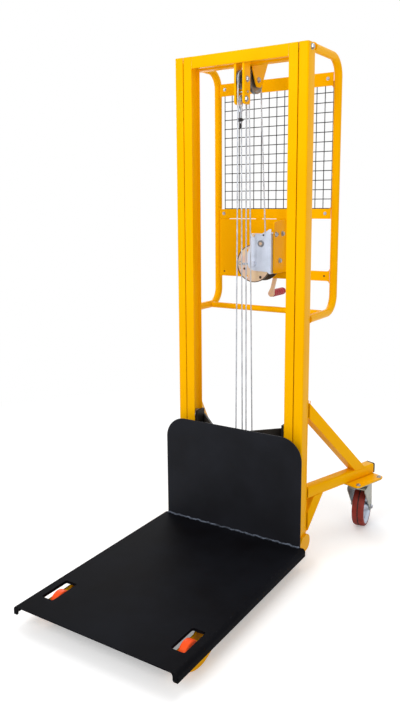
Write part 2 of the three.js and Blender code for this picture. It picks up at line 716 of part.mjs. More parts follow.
// Carriage: deck, backrest, side bars with gussets, rollers and sheave fork
function buildCarriage() {
  const { halfWidth, top, thickness, front, back, flange, bend } = deck;
  const inner = bend - thickness;
  const edge = top - flange;
  const section = [
    [-halfWidth, edge],
    [-halfWidth + thickness, edge],
    ...arc(-halfWidth + bend, top - bend, inner, 180, 90),
    ...arc(halfWidth - bend, top - bend, inner, 90, 0),
    [halfWidth - thickness, edge],
    [halfWidth, edge],
    ...arc(halfWidth - bend, top - bend, bend, 0, 90),
    ...arc(-halfWidth + bend, top - bend, bend, 90, 180),
  ];
  const windowCut = [];
  const windowLip = [];
  for (const sign of [-1, 1]) {
    const x0 = sign > 0 ? deckWindow.inner : -deckWindow.outer;
    const x1 = sign > 0 ? deckWindow.outer : -deckWindow.inner;
    const hole = rounded(x0, x1, deckWindow.front, deckWindow.back, deckWindow.corner);
    const wall = deckWindow.lipWall;
    const rim = rounded(
      x0 - wall, x1 + wall, deckWindow.front - wall, deckWindow.back + wall, deckWindow.corner + wall);
    windowCut.push(prismZ(hole, top - deckWindow.lip - overrun, top + overrun));
    windowLip.push(prismZ(rim, top - deckWindow.lip, top - thickness / 2));
  }
  place('load_deck', cut(join(prismY(section, front, back), ...windowLip), ...windowCut), finish.black);

  const rest = backrest;
  const restOutline = [
    [-rest.halfWidth, top + seat],
    [rest.halfWidth, top + seat],
    ...arc(rest.halfWidth - rest.corner, rest.top - rest.corner, rest.corner, 0, 90, facets.round),
    ...arc(-rest.halfWidth + rest.corner, rest.top - rest.corner, rest.corner, 90, 180, facets.round),
  ];
  const beadOutline = [
    [rest.front + rest.thickness / 2, top + seat],
    [rest.front + rest.thickness / 2, top + seat + rest.bead],
    ...arc(rest.front, top + seat, rest.bead, 90, 180),
  ];
  place('backrest', join(
    prismY(restOutline, rest.front, rest.front + rest.thickness),
    prismX(beadOutline, -rest.halfWidth, rest.halfWidth),
  ), finish.black);

  const gx = gusset.barX - gusset.restX;
  const gy = gusset.barY - gusset.restY;
  const run = Math.hypot(gx, gy);
  const nx = (gusset.thickness / 2) * (gy / run);
  const ny = (gusset.thickness / 2) * (gx / run);
  const plate = prismZ([
    [gusset.restX + nx, gusset.restY - ny],
    [gusset.barX + nx + overrun, gusset.barY - ny + overrun],
    [gusset.barX - nx + overrun, gusset.barY + ny + overrun],
    [gusset.restX - nx, gusset.restY + ny],
  ], gusset.low, backrest.top);
  const restBack = rest.front + rest.thickness + seat;
  const clean = block(0, railInnerX, restBack, carriage.barBack, carriage.low, carriage.high + overrun);
  const rollers = [carriageRoller.lowZ, carriageRoller.highZ];
  const side = join(
    common(plate, clean),
    block(carriage.barInner, carriage.barOuter, carriage.barFront, carriage.barBack,
      carriage.low, carriage.high),
    ...rollers.map((z) => pinX(mastBack / 2, z, carriageRoller.pinRadius,
      carriage.barOuter - seat, webInnerX - rail.corner)),
  );
  pair('carriage_side', side, finish.black);
  const rollerX = webInnerX - rail.corner - carriageRoller.width / 2;
  for (const [name, sign] of [['left', -1], ['right', 1]]) {
    for (const [level, z] of [['lower', carriageRoller.lowZ], ['upper', carriageRoller.highZ]]) {
      place(`carriage_roller_${level}_${name}`, rollerGeometry(
        rollerTrack / 2 - seat, carriageRoller.width, carriageRoller.pinRadius,
      ), finish.steel).position.set(sign * rollerX, mastBack / 2, z);
    }
  }

  const half = sheaveForm.hubHalf + sheaveFork.play;
  const outer = half + sheaveFork.thickness;
  const cheekOutline = [
    [restBack, carriageSheave.z - sheaveFork.height / 2],
    [restBack + sheaveFork.thickness, carriageSheave.z - sheaveFork.height / 2],
    ...arc(carriageSheave.y, carriageSheave.z, sheaveFork.radius, -90, 90, facets.bend),
    [restBack + sheaveFork.thickness, carriageSheave.z + sheaveFork.height / 2],
    [restBack, carriageSheave.z + sheaveFork.height / 2],
  ];
  const x = carriageSheave.x;
  place('carriage_sheave_fork', join(
    prismX(cheekOutline, x + half, x + outer),
    prismX(cheekOutline, x - outer, x - half),
    block(x - outer - sheaveFork.wing, x + outer + sheaveFork.wing, restBack, restBack + sheaveFork.thickness,
      carriageSheave.z - sheaveFork.height / 2, carriageSheave.z + sheaveFork.height / 2),
    pinX(carriageSheave.y, carriageSheave.z, sheavePin.radius,
      x - outer - sheaveFork.pinEnd, x + outer + sheaveFork.pinEnd),
  ), finish.black);
  placeSheave('carriage_sheave', carriageSheave);
}

// Base: two legs of plate round the channels, the cross tube and the load rollers
function buildBase() {
  const nose = Math.sqrt(legLobe.radius ** 2 - (legLobe.lowest + legLobe.radius - leg.bottom) ** 2);
  const lobeZ = legLobe.lowest + legLobe.radius;
  const lobeStart = THREE.MathUtils.radToDeg(Math.atan2(leg.bottom - lobeZ, -nose));
  const lobeEnd = THREE.MathUtils.radToDeg(Math.atan2(leg.bottom - lobeZ, nose));
  const side = (lobeY) => [
    [leg.front, leg.noseTop],
    [leg.front, leg.bottom],
    ...arc(legLobe.y, lobeZ, legLobe.radius, lobeStart, lobeEnd, facets.lobe),
    ...arc(lobeY, leg.lobeZ, leg.lobeRadius, -90, 90, facets.lobe),
    [lobeY - leg.lobeRadius, leg.lobeZ + leg.lobeRadius],
    [lobeY - 2 * leg.lobeRadius, leg.top],
    [leg.stepY, leg.top],
    [leg.stepY - leg.stepRun, leg.noseTop],
  ].reverse();
  const mouth = channel.outerX - channel.width;
  const outerFace = channel.outerX + seat;
  const innerFace = mouth - seat;
  const tie = (y) => block(innerFace - leg.plate / 2, outerFace + leg.plate / 2,
    y - legTie.thickness / 2, y + legTie.thickness / 2, legTie.low, legTie.high);
  const body = join(
    prismX(side(leg.lobeY), outerFace, outerFace + leg.plate),
    prismX(side(mastBack - leg.lobeRadius), innerFace - leg.plate, innerFace),
    tie(legTie.rearY), tie(legTie.frontY),
    pinX(legRoller.y, legRoller.radius, legRoller.pinRadius,
      innerFace - leg.plate - legRoller.pinEnd, outerFace + leg.plate + legRoller.pinEnd),
  );
  pair('base_leg', body, finish.yellow);
  const reach = innerFace - leg.plate - seat;
  place('base_cross_tube', beamX(-reach, reach, baseTube.front, baseTube.front + baseTube.size,
    baseTube.floorGap, baseTube.floorGap + baseTube.size), finish.yellow);

  const r = legRoller.radius;
  const w = legRoller.halfWidth;
  const bore = boreFor(legRoller.pinRadius, seat);
  const roller = turned(ring(
    [bore, -w],
    [r - legRoller.tread, -w],
    [r - legRoller.chamfer, -w + legRoller.chamfer / 2],
    [r, -w + 2 * legRoller.chamfer],
    [r, w - 2 * legRoller.chamfer],
    [r - legRoller.chamfer, w - legRoller.chamfer / 2],
    [r - legRoller.tread, w],
    [bore, w],
  ), facets.sheave, 'x');
  const x = (mouth + channel.outerX) / 2;
  for (const [name, sign] of [['left', -1], ['right', 1]]) {
    place(`load_roller_${name}`, roller.clone(), finish.orange).position.set(sign * x, legRoller.y, r);
  }
}

// Rear outriggers with their castor plates and end plugs
function buildOutriggers() {
  const t = outrigger.tube;
  const half = t / 2;
  const high = outrigger.low + t;
  const w = outrigger.wall;
  // Local frame: x across, y outwards along the arm, z up
  const arm = prismY(
    rounded(-half, half, outrigger.low, high, outrigger.corner), -outrigger.lead, outrigger.length);
  const armBore = prismY(rounded(-half + w, half - w, outrigger.low + w, high - w, outrigger.corner - w / 2),
    -outrigger.boreLead, outrigger.length + overrun);
  // Slanted tube in the arm's plane: its outer edge starts at the mast at height z0 and climbs by run
  const strut = (z0, run, side, inset, endZ) => {
    const slant = Math.hypot(1, run);
    const near = z0 + side * inset * slant;
    const far = z0 + side * (t - inset) * slant;
    return prismX([
      [-outrigger.lead, near - outrigger.lead * run],
      [(endZ - near) / run, endZ],
      [(endZ - far) / run, endZ],
      [-outrigger.lead, far - outrigger.lead * run],
    ], -half + inset, half - inset);
  };
  const braceRun = (high - brace.mastTop) / brace.armReach;
  const kneeRun = (outrigger.low - knee.mastLow) / knee.armReach;
  const braceTube = (inset, endZ) => strut(brace.mastTop, braceRun, -1, inset, endZ);
  const kneeTube = (inset, endZ) => strut(knee.mastLow, kneeRun, 1, inset, endZ);
  const lift = (geometry) => geometry
    .rotateZ(THREE.MathUtils.degToRad(-outrigger.splay))
    .translate(outrigger.x, mastBack, 0);
  const plateTop = prismZ(
    rounded(footPlate.side - footPlate.across / 2, footPlate.side + footPlate.across / 2,
      footPlate.reach - footPlate.along / 2, footPlate.reach + footPlate.along / 2, footPlate.corner),
    outrigger.low - footPlate.thickness, outrigger.low + seat,
  );
  const body = cut(join(arm, braceTube(0, high - w / 2), kneeTube(0, outrigger.low + w / 2), plateTop),
    armBore, braceTube(w, high + w), kneeTube(w, outrigger.low - w));
  const mastSide = block(0, outrigger.x * 2, -outrigger.length, mastBack + seat, 0, channel.top);
  pair('outrigger', cut(lift(body), mastSide), finish.yellow);

  const inset = w + seat;
  const plugBody = join(
    prismY(rounded(-half, half, outrigger.low + 2 * seat, high, outrigger.corner),
      outrigger.length + seat, outrigger.length + seat + plug.head),
    prismY(
      rounded(-half + inset, half - inset, outrigger.low + inset, high - inset, outrigger.corner - w / 2),
      outrigger.length - plug.shank, outrigger.length + 2 * seat),
  );
  pair('outrigger_plug', lift(plugBody), finish.nylon);
}

// Swivel castor, built about its kingpin on the floor
function buildCastors() {
  const plateTop = outrigger.low - footPlate.thickness - seat;
  const plateLow = plateTop - castorPlate.thickness;
  const raceLow = plateLow - castorPlate.raceHeight;
  const headTop = raceLow - seat;
  const headLow = headTop - fork.headHeight;
  const nutLow = headLow - fork.crown - kingpin.nutHeight;
  const plate = join(
    prismZ(rounded(-castorPlate.across / 2, castorPlate.across / 2, -castorPlate.along / 2,
      castorPlate.along / 2, castorPlate.corner), plateLow, plateTop),
    pinZ(0, 0, castorPlate.raceRadius, raceLow, plateLow + seat, facets.roller),
    pinZ(0, 0, kingpin.radius, nutLow, plateLow),
    pinZ(0, 0, kingpin.nutRadius, nutLow, nutLow + kingpin.nutHeight - seat, facets.hexagon),
  );
  // Local frame of the fork: the wheel trails along +y
  const outer = fork.legInner + fork.leg;
  const legOutline = [
    ...arc(castor.trail, castor.radius, fork.eyeRadius, 180, 360, facets.bend),
    [fork.back + fork.crown, headLow - fork.crownDrop],
    [fork.back, headLow],
    [-fork.shoulder + fork.crown, headLow],
    [-fork.shoulder, headLow - fork.crownDrop],
  ];
  const forkSolid = cut(join(
    prismX(legOutline, fork.legInner, outer),
    prismX(legOutline, -outer, -fork.legInner),
    block(-outer, outer, -fork.shoulder + fork.crown, fork.back, headLow - fork.crown, headLow),
    pinZ(0, 0, fork.head, headLow - seat, headTop, facets.roller),
    pinX(castor.trail, castor.radius, axle.radius, -outer - axle.nutHeight, outer + axle.nutHeight),
    pinX(castor.trail, castor.radius, axle.nutRadius,
      outer - seat, outer + axle.nutHeight - seat, facets.hexagon),
    pinX(castor.trail, castor.radius, axle.nutRadius,
      -outer - axle.nutHeight + seat, -outer + seat, facets.hexagon),
  ), pinZ(0, 0, boreFor(kingpin.radius, seat), headLow - fork.crown - overrun, headTop + overrun));
  const r = castor.radius;
  const w = castor.halfWidth;
  const hub = fork.legInner - seat;
  const { rimRadius, dishRadius, dishDepth, hubRadius, shoulder, shoulderDrop, crown } = castorWheel;
  const half = [
    [boreFor(axle.radius, seat), hub],
    [hubRadius, hub],
    [dishRadius, w - dishDepth],
    [rimRadius, w],
    [r - shoulder, w - shoulderDrop],
    [r, w - crown],
  ];
  const otherHalf = half.map(([radius, height]) => [radius, -height]);
  const wheel = turned(ring(...otherHalf, ...half.reverse()), facets.wheel, 'x');
  const splay = THREE.MathUtils.degToRad(outrigger.splay);
  const x = outrigger.x + footPlate.reach * Math.sin(splay) + footPlate.side * Math.cos(splay);
  const y = mastBack + footPlate.reach * Math.cos(splay) - footPlate.side * Math.sin(splay);
  for (const [name, sign] of [['left', -1], ['right', 1]]) {
    const stem = new THREE.Group();
    stem.position.set(sign * x, y, 0);
    stem.rotation.z = -sign * splay;
    group.add(stem);
    place(`castor_plate_${name}`, plate.clone(), finish.zinc, stem);
    const swivel = new THREE.Group();
    swivel.position.copy(stem.position);
    swivel.rotation.z = THREE.MathUtils.degToRad(sign * castor.heading);
    group.add(swivel);
    place(`castor_fork_${name}`, forkSolid.clone(), finish.zinc, swivel);
    place(`castor_wheel_${name}`, wheel.clone(), finish.tread, swivel)
      .position.set(0, castor.trail, castor.radius);
  }
}

// Push hoop, guard mesh, bars and winch panel
function buildHoop() {
  const side = tube(bentRun([
    [hoop.x, mastBack + seat, hoop.top],
    [hoop.x, hoop.y, hoop.top],
    [hoop.x, hoop.y, hoop.low],
    [hoop.x, mastBack + seat, hoop.low],
  ], hoop.bend), hoop.radius, facets.tube);
  pair('push_hoop', side, finish.yellow);
  const reach = hoop.x - hoop.radius - seat;
  place('hoop_cross_bar', tube([
    { point: new THREE.Vector3(-reach, hoopBar.y, hoop.low), direction: new THREE.Vector3(1, 0, 0) },
    { point: new THREE.Vector3(reach, hoopBar.y, hoop.low), direction: new THREE.Vector3(1, 0, 0) },
  ], hoopBar.radius, facets.tube), finish.yellow);

  const front = bar.back - bar.thickness;
  // Where a bar meets the tube at height z, also where the tube bends forward
  const barEnd = (z) => {
    const intoBend = Math.max(0, z - hoop.top + hoop.bend);
    const middle = hoop.y - hoop.bend + Math.sqrt(hoop.bend ** 2 - intoBend ** 2);
    return hoop.x - Math.sqrt(hoop.radius ** 2 - (middle - bar.back) ** 2) - seat;
  };
  const end = barEnd(hoop.low + hoop.bend);
  const topEnd = barEnd(meshTopBar.high);
  const topBar = [
    ...arc(topEnd - bar.fillet, meshTopBar.low - bar.fillet, bar.fillet, 0, 90),
    ...arc(-topEnd + bar.fillet, meshTopBar.low - bar.fillet, bar.fillet, 90, 180),
    [-topEnd, meshTopBar.high],
    [topEnd, meshTopBar.high],
  ];
  const holes = (z) => [-barHole.x, barHole.x].map((x) => circle(x, z, barHole.radius, facets.bolt));
  place('mesh_top_bar', prismY(topBar, front, bar.back,
    holes((meshTopBar.low + meshTopBar.high) / 2)), finish.yellow);
  const lowBar = [
    [-end, meshLowBar.low],
    [end, meshLowBar.low],
    ...arc(end - bar.fillet, meshLowBar.high + bar.fillet, bar.fillet, 0, -90),
    ...arc(-end + bar.fillet, meshLowBar.high + bar.fillet, bar.fillet, 270, 180),
  ];
  place('mesh_bottom_bar', prismY(lowBar, front, bar.back,
    holes((meshLowBar.low + meshLowBar.high) / 2)), finish.yellow);
  const sheet = [
    ...arc(end - bar.fillet, panel.low - bar.fillet, bar.fillet, 0, 90).reverse(),
    ...arc(end - bar.fillet, panel.strip + bar.fillet, bar.fillet, 0, -90),
    ...arc(panel.right + panel.corner, panel.strip + panel.corner, panel.corner, 270, 180),
    [panel.right, panel.high],
    [panel.left, panel.high],
    [-end, panel.high],
    ...arc(-end + bar.fillet, panel.low - bar.fillet, bar.fillet, 180, 90),
  ];
  const shaftHole = circle(pinionAxle.x, pinionAxle.z, pinionAxle.radius + overrun / 2);
  place('winch_panel', prismY(sheet, front, bar.back, [
    ...holes((panel.low + panel.strip) / 2), shaftHole,
  ]), finish.yellow);

  const half = (mesh.columns * mesh.pitch) / 2;
  const gaps = [];
  for (let column = 0; column < mesh.columns; column += 1) {
    for (let row = 0; row < mesh.rows; row += 1) {
      const x0 = -half + column * mesh.pitch + mesh.wire / 2;
      const z0 = mesh.low + row * mesh.pitch + mesh.wire / 2;
      const gap = mesh.pitch - mesh.wire;
      gaps.push([[x0, z0], [x0 + gap, z0], [x0 + gap, z0 + gap], [x0, z0 + gap]]);
    }
  }
  const lowZ = mesh.low - mesh.wire / 2;
  const highZ = mesh.low + mesh.rows * mesh.pitch + mesh.wire / 2;
  const edge = half + mesh.wire / 2;
  place('wire_mesh', prismY([[-edge, lowZ], [edge, lowZ], [edge, highZ], [-edge, highZ]],
    bar.back + seat, bar.back + seat + mesh.wire, gaps), finish.wire);
}

// Gear outline with straight-sided teeth
function gearOutline(teeth, x, z, phase, thin) {
  const pitchRadius = (gear.module * teeth) / 2;
  const tip = pitchRadius + gear.module * gear.addendum;
  const root = pitchRadius - gear.module * gear.dedendum;
  const step = 360 / teeth;
  const points = [];
  const thinning = THREE.MathUtils.radToDeg(thin / pitchRadius) / 2;
  for (let tooth = 0; tooth < teeth; tooth += 1) {
    const middle = phase + tooth * step;
    const rootHalf = step * gear.rootShare - thinning;
    const tipHalf = step * gear.tipShare - thinning / 2;
    for (const [radius, angle] of [
      [root, middle - rootHalf], [tip, middle - tipHalf], [tip, middle + tipHalf], [root, middle + rootHalf],
    ]) {
      const turn = THREE.MathUtils.degToRad(angle);
      points.push([x + radius * Math.cos(turn), z + radius * Math.sin(turn)]);
    }
  }
  return points;
}

// Winch: bracket, frame with the drum axle, drum with its gear and rope, crank with its pinion
function buildWinch() {
  const inner = bracket.x - bracket.thickness;
  const rear = bar.back - bar.thickness - seat;
  const side = [
    ...arc(bracket.front + bracket.corner, bracket.low + bracket.corner, bracket.corner, 180, 270),
    [rear, bracket.low],
    [rear, bracket.highBack],
    ...arc(bracket.front + bracket.corner, bracket.highFront - bracket.corner, bracket.corner, 90, 180),
  ];
  const boltHoles = [
    [bracketHole.front, bracketHole.high],
    [bracketHole.rear, bracketHole.high],
    [bracketHole.middle, bracketHole.low],
  ].map(([y, z]) => circle(y, z, bracketHole.radius, facets.bolt));
  place('winch_bracket', join(
    prismX(side, inner, bracket.x, boltHoles),
    block(bracket.x - bracket.thickness / 2, bracket.x + bracket.flange, rear - bracket.thickness, rear,
      bracket.low, bracket.highBack),
  ), finish.yellow);

  const base = inner - seat;
  const { front, back, sheet, left, low, high, tab, tabRun, corner, baseLow } = frame;
  const flapEdge = [
    [left, frame.flapStep],
    [frame.flapLeft, frame.flapHigh],
    [frame.flapLeft, drumAxle.z],
    ...arc(drumAxle.x, drumAxle.z, -frame.flapLeft, frame.flapStart, frame.flapEnd),
    [drumAxle.x + sheet, low + sheet],
  ];
  const flap = [
    ...flapEdge,
    [base - tabRun / 2, low],
    [base - corner, baseLow],
    [base, baseLow],
    [base, tab],
    [base - corner, tab],
    [base - tabRun, high],
    [left + corner, high],
    [left, high - corner],
  ];
  const rearPlate = [
    ...flapEdge,
    [base, baseLow],
    [base, high],
    [left + corner, high],
    [left, high - corner],
  ];
  const shaftBore = boreFor(pinionAxle.radius);
  const shaftHole = pinY(pinionAxle.x, pinionAxle.z, shaftBore, front - overrun, back + overrun);
  const topHole = pinY(
    frame.holeX, frame.holeZ, frame.holeRadius, front - overrun, front + overrun, facets.bolt);
  const axleFront = front - drumAxle.headHeight;
  const axleBack = back + drumAxle.headHeight;
  place('winch_frame', cut(join(
    prismY(flap, front, front + sheet),
    prismY(rearPlate, back - sheet, back),
    block(base - sheet, base, front, back, baseLow, high),
    pinY(drumAxle.x, drumAxle.z, drumAxle.radius, axleFront, axleBack),
    pinY(drumAxle.x, drumAxle.z, drumAxle.headRadius, axleFront, front + sheet / 2, facets.hexagon),
    pinY(drumAxle.x, drumAxle.z, drumAxle.headRadius, back - sheet / 2, axleBack, facets.hexagon),
  ), shaftHole, topHole), finish.zinc);

  const bore = boreFor(drumAxle.radius, drum.hubPlay);
  const gearFront = drum.rear + drum.flange - seat;
  const gearBack = gearFront + gear.face;
  const barrel = turned(ring(
    [bore, drum.front],
    [drum.flangeRadius, drum.front],
    [drum.flangeRadius, drum.front + drum.flange],
    [drum.core, drum.front + drum.flange],
    [drum.core, drum.rear],
    [drum.flangeRadius, drum.rear],
    [drum.flangeRadius, drum.rear + drum.flange],
    [bore, drum.rear + drum.flange],
  ), facets.drum, 'y').translate(drumAxle.x, 0, drumAxle.z);
  const mesh0 = THREE.MathUtils.radToDeg(Math.atan2(pinionAxle.z - drumAxle.z, pinionAxle.x - drumAxle.x));
  const wheelStep = 360 / gear.wheelTeeth;
  const wheelTeeth = gearOutline(
    gear.wheelTeeth, drumAxle.x, drumAxle.z, mesh0 + wheelStep / 2, gear.backlash);
  place('winch_drum', cut(
    join(barrel, prismY(wheelTeeth, gearFront, gearBack)),
    pinY(drumAxle.x, drumAxle.z, bore, front, back),
  ), finish.gold);

  const pinionTeeth = gearOutline(gear.pinionTeeth, pinionAxle.x, pinionAxle.z, mesh0 + 180, gear.backlash);
  const tilt = THREE.MathUtils.degToRad(crank.tilt);
  const endX = pinionAxle.x - crank.length * Math.sin(tilt);
  const endZ = pinionAxle.z - crank.length * Math.cos(tilt);
  const down = 270 - crank.tilt;
  const armPoints = [
    ...arc(pinionAxle.x, pinionAxle.z, crank.hubRadius, down + 90, down + 270, facets.bend),
    ...arc(endX, endZ, crank.endRadius, down - 90, down + 90, facets.bend),
  ];
  const gripEnd = crank.y + crank.thickness + grip.length + 2 * seat;
  const washerFront = front - seat - crankWasher.thickness;
  place('winch_crank', join(
    pinY(pinionAxle.x, pinionAxle.z, pinionAxle.radius, washerFront, crank.y + crank.thickness / 2),
    pinY(pinionAxle.x, pinionAxle.z, crankWasher.radius, washerFront, front - seat, facets.pin),
    prismY(pinionTeeth, gearFront + 2 * seat, gearBack - seat),
    prismY(armPoints, crank.y, crank.y + crank.thickness),
    pinY(endX, endZ, grip.pinRadius, crank.y + crank.thickness / 2, gripEnd + grip.capHeight),
    pinY(endX, endZ, grip.capRadius, gripEnd, gripEnd + grip.capHeight),
  ), finish.gold);

  const gripBore = boreFor(grip.pinRadius, seat);
  const ribStep = grip.length / (2 * grip.ribs);
  const gripProfile = [[gripBore, 0], [grip.waist, 0]];
  for (let rib = 0; rib < grip.ribs; rib += 1) {
    gripProfile.push([grip.radius, ribStep * (2 * rib + 1 - grip.ribShare)]);
    gripProfile.push([grip.radius, ribStep * (2 * rib + 1 + grip.ribShare)]);
    gripProfile.push([grip.waist, ribStep * (2 * rib + 2)]);
  }
  gripProfile.push([gripBore, grip.length]);
  place('crank_grip', turned(ring(...gripProfile), facets.pin, 'y'), finish.red)
    .position.set(endX, crank.y + crank.thickness + seat, endZ);
}

// Ropes in the order of their run from the drum to the dead end
function buildRopes() {
  // Rope fall from the drum: the tangent point on the winding
  const top = new THREE.Vector3(topSheave.x, topSheave.y + topSheave.pitch, topSheave.z);
  const toTop = new THREE.Vector2(top.x - drumAxle.x, top.z - drumAxle.z);
  const along = Math.sqrt(toTop.lengthSq() - winding.radius ** 2);
  const lean = Math.atan2(toTop.y, toTop.x) - Math.atan2(along, winding.radius);
  const touch = new THREE.Vector3(drumAxle.x, winding.first, drumAxle.z)
    .addScaledVector(new THREE.Vector3(Math.cos(lean), 0, Math.sin(lean)), winding.radius);
  const fall = top.clone().sub(touch).normalize();
  // The winding ends on a cylinder round the drum's axle and the fall begins outside it, so that the
  // end passes the fall as the drum turns
  const sweep = winding.radius + 2 * rope.radius + 2 * seat;
  const clear = Math.sqrt(sweep ** 2 - winding.radius ** 2);
  const swept = (radius) => pinY(drumAxle.x, drumAxle.z, radius, frame.front, frame.back, facets.drum);
  const start = touch.clone().addScaledVector(fall, clear + 2 * rope.radius);

  const loopSteps = facets.loop;
  const total = winding.turns * loopSteps;
  const stations = [{ point: start.clone(), direction: fall.clone().negate() }];
  const axial = (turn) => (turn < 1
    ? winding.first + (winding.second - winding.first) * turn
    : winding.second + (turn - 1) * winding.pitch);
  for (let step = 0; step <= total; step += 1) {
    const turn = step / loopSteps;
    const angle = lean - turn * 2 * Math.PI;
    const rise = turn < 1 ? winding.second - winding.first : winding.pitch;
    const out = new THREE.Vector3(Math.cos(angle), 0, Math.sin(angle));
    const round = new THREE.Vector3(Math.sin(angle), 0, -Math.cos(angle));
    stations.push({
      point: new THREE.Vector3(drumAxle.x, axial(turn), drumAxle.z).addScaledVector(out, winding.radius),
      direction: round.multiplyScalar(2 * Math.PI * winding.radius).setY(rise).normalize(),
    });
  }
  // Inner end: bends to the drum's axis and runs square into the rear flange
  const last = stations[stations.length - 1];
  const axis = new THREE.Vector3(0, 1, 0);
  const forward = last.direction.clone();
  const room = drum.rear - seat - last.point.y;
  const bendRadius = Math.max(winding.leastBend, Math.min(winding.mostBend, room - 2 * rope.radius));
  const centre = last.point.clone().addScaledVector(axis, bendRadius);
  for (let step = 1; step <= facets.bend; step += 1) {
    const angle = (Math.PI / 2) * (step / facets.bend);
    stations.push({
      point: centre.clone().addScaledVector(axis, -bendRadius * Math.cos(angle))
        .addScaledVector(forward, bendRadius * Math.sin(angle)),
      direction: forward.clone().multiplyScalar(Math.cos(angle))
        .addScaledVector(axis, Math.sin(angle)).normalize(),
    });
  }
  const tail = stations[stations.length - 1].point.clone();
  stations.push({ point: new THREE.Vector3(tail.x, drum.rear - seat, tail.z), direction: axis });
  place('rope_winding', common(tube(stations, rope.radius, facets.strand), swept(sweep)), finish.rope);

  // Least distance between turns, measured on the centre points
  let least = Infinity;
  stations.forEach((one, index) => {
    stations.forEach((other, otherIndex) => {
      if (otherIndex - index > loopSteps / 2) {
        least = Math.min(least, one.point.distanceTo(other.point) - 2 * rope.radius);
      }
    });
  });
  console.log(`rope winding: least gap to itself ${least.toFixed(2)} mm`);

  const topWrap = sheaveWrap(topSheave, 0, 180);
  place('rope_winch_fall', cut(tube([
    { point: touch.clone().addScaledVector(fall, clear - 4 * rope.radius), direction: fall.clone() },
    ...topWrap,
  ], rope.radius), swept(sweep + 2 * seat)), finish.rope);
  place('rope_outer_fall', straightRope(
    [topSheave.x, topSheave.y - topSheave.pitch, topSheave.z],
    [footSheave.x, footSheave.y + footSheave.pitch, footSheave.z],
  ), finish.rope);
  place('rope_inner_run', tube([
    ...sheaveWrap(footSheave, 0, -180, facets.turn),
    ...sheaveWrap(earSheave, 0, 180, facets.turn),
  ], rope.radius), finish.rope);
  place('rope_front_fall', straightRope(
    [earSheave.x, earSheave.y - earSheave.pitch, earSheave.z],
    [carriageSheave.x, carriageSheave.y - carriageSheave.pitch, carriageSheave.z],
  ), finish.rope);
  const carriageTurn = sheaveWrap(carriageSheave, -180, 0, facets.turn);
  place('rope_carriage_turn', tube(carriageTurn, rope.radius), finish.rope);
  place('rope_dead_fall', straightRope(
    [carriageSheave.x, carriageSheave.y + carriageSheave.pitch, carriageSheave.z],
    [0, anchor.y + eye.strand, eye.low],
  ), finish.rope);

  // Eye: up the live strand, over the anchor bolt and down the tail
  const up = new THREE.Vector3(0, 0, 1);
  const loop = [{ point: new THREE.Vector3(0, anchor.y + eye.strand, eye.low), direction: up.clone() }];
  const neckZ = anchor.z - eye.neck;
  const spread = Math.atan2(eye.radius - eye.strand, eye.neck);
  loop.push({ point: new THREE.Vector3(0, anchor.y + eye.strand, neckZ), direction: up.clone() });
  const half = Math.PI / 2 + spread;
  for (let step = 0; step <= facets.turn; step += 1) {
    const angle = Math.PI / 2 - half + (2 * half * step) / facets.turn;
    const out = new THREE.Vector3(0, Math.cos(angle), Math.sin(angle));
    loop.push({
      point: new THREE.Vector3(0, anchor.y, anchor.z).addScaledVector(out, eye.radius),
      direction: new THREE.Vector3(0, -Math.sin(angle), Math.cos(angle)),
    });
  }
  loop.push({ point: new THREE.Vector3(0, anchor.y - eye.strand, neckZ), direction: up.clone().negate() });
  loop.push({ point: new THREE.Vector3(0, anchor.y - eye.strand, eye.tail), direction: up.clone().negate() });
  const clipBody = (z) => block(-clip.width / 2, clip.width / 2, anchor.y - clip.depth / 2,
    anchor.y + clip.depth / 2, z - clip.height / 2, z + clip.height / 2);
  const thimble = prismX(circle(anchor.y, anchor.z, eye.radius - rope.radius / 2, facets.pin),
    -eye.thimbleHalf, eye.thimbleHalf, [circle(anchor.y, anchor.z, boreFor(sheavePin.radius, seat / 2))]);
  const strand = tube(loop, rope.radius, facets.strand);
  place('rope_eye', join(strand, thimble, clipBody(clip.upperZ), clipBody(clip.lowerZ)), finish.zinc);
}

buildOuterMast();
buildInnerMast();
buildCarriage();
buildBase();
buildOutriggers();
buildCastors();
buildHoop();
buildWinch();
buildRopes();

// The origin goes to the middle of the footprint
group.updateMatrixWorld(true);
const bounds = new THREE.Box3().setFromObject(group, true);
group.position.set(-(bounds.min.x + bounds.max.x) / 2, -(bounds.min.y + bounds.max.y) / 2, -bounds.min.z);
console.log(`origin moved by ${group.position.toArray().map((value) => value.toFixed(3)).join(', ')}`);

export default group;
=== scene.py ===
"""Winch material lift: the pieces that show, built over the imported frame.

Lengths in the classes are millimetres in the drawing frame of the lift: x to the right seen from the
deck, y from the deck to the user with zero at the front face of the masts, z up from the floor. The
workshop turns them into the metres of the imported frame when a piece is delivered.
"""
import logging
import math
from dataclasses import asdict, dataclass, replace
from enum import Enum

import bmesh
import bpy
from bpy.types import Material, Mesh, Node, NodeSocket, NodeTree, Object, Scene
from mathutils import Matrix, Vector

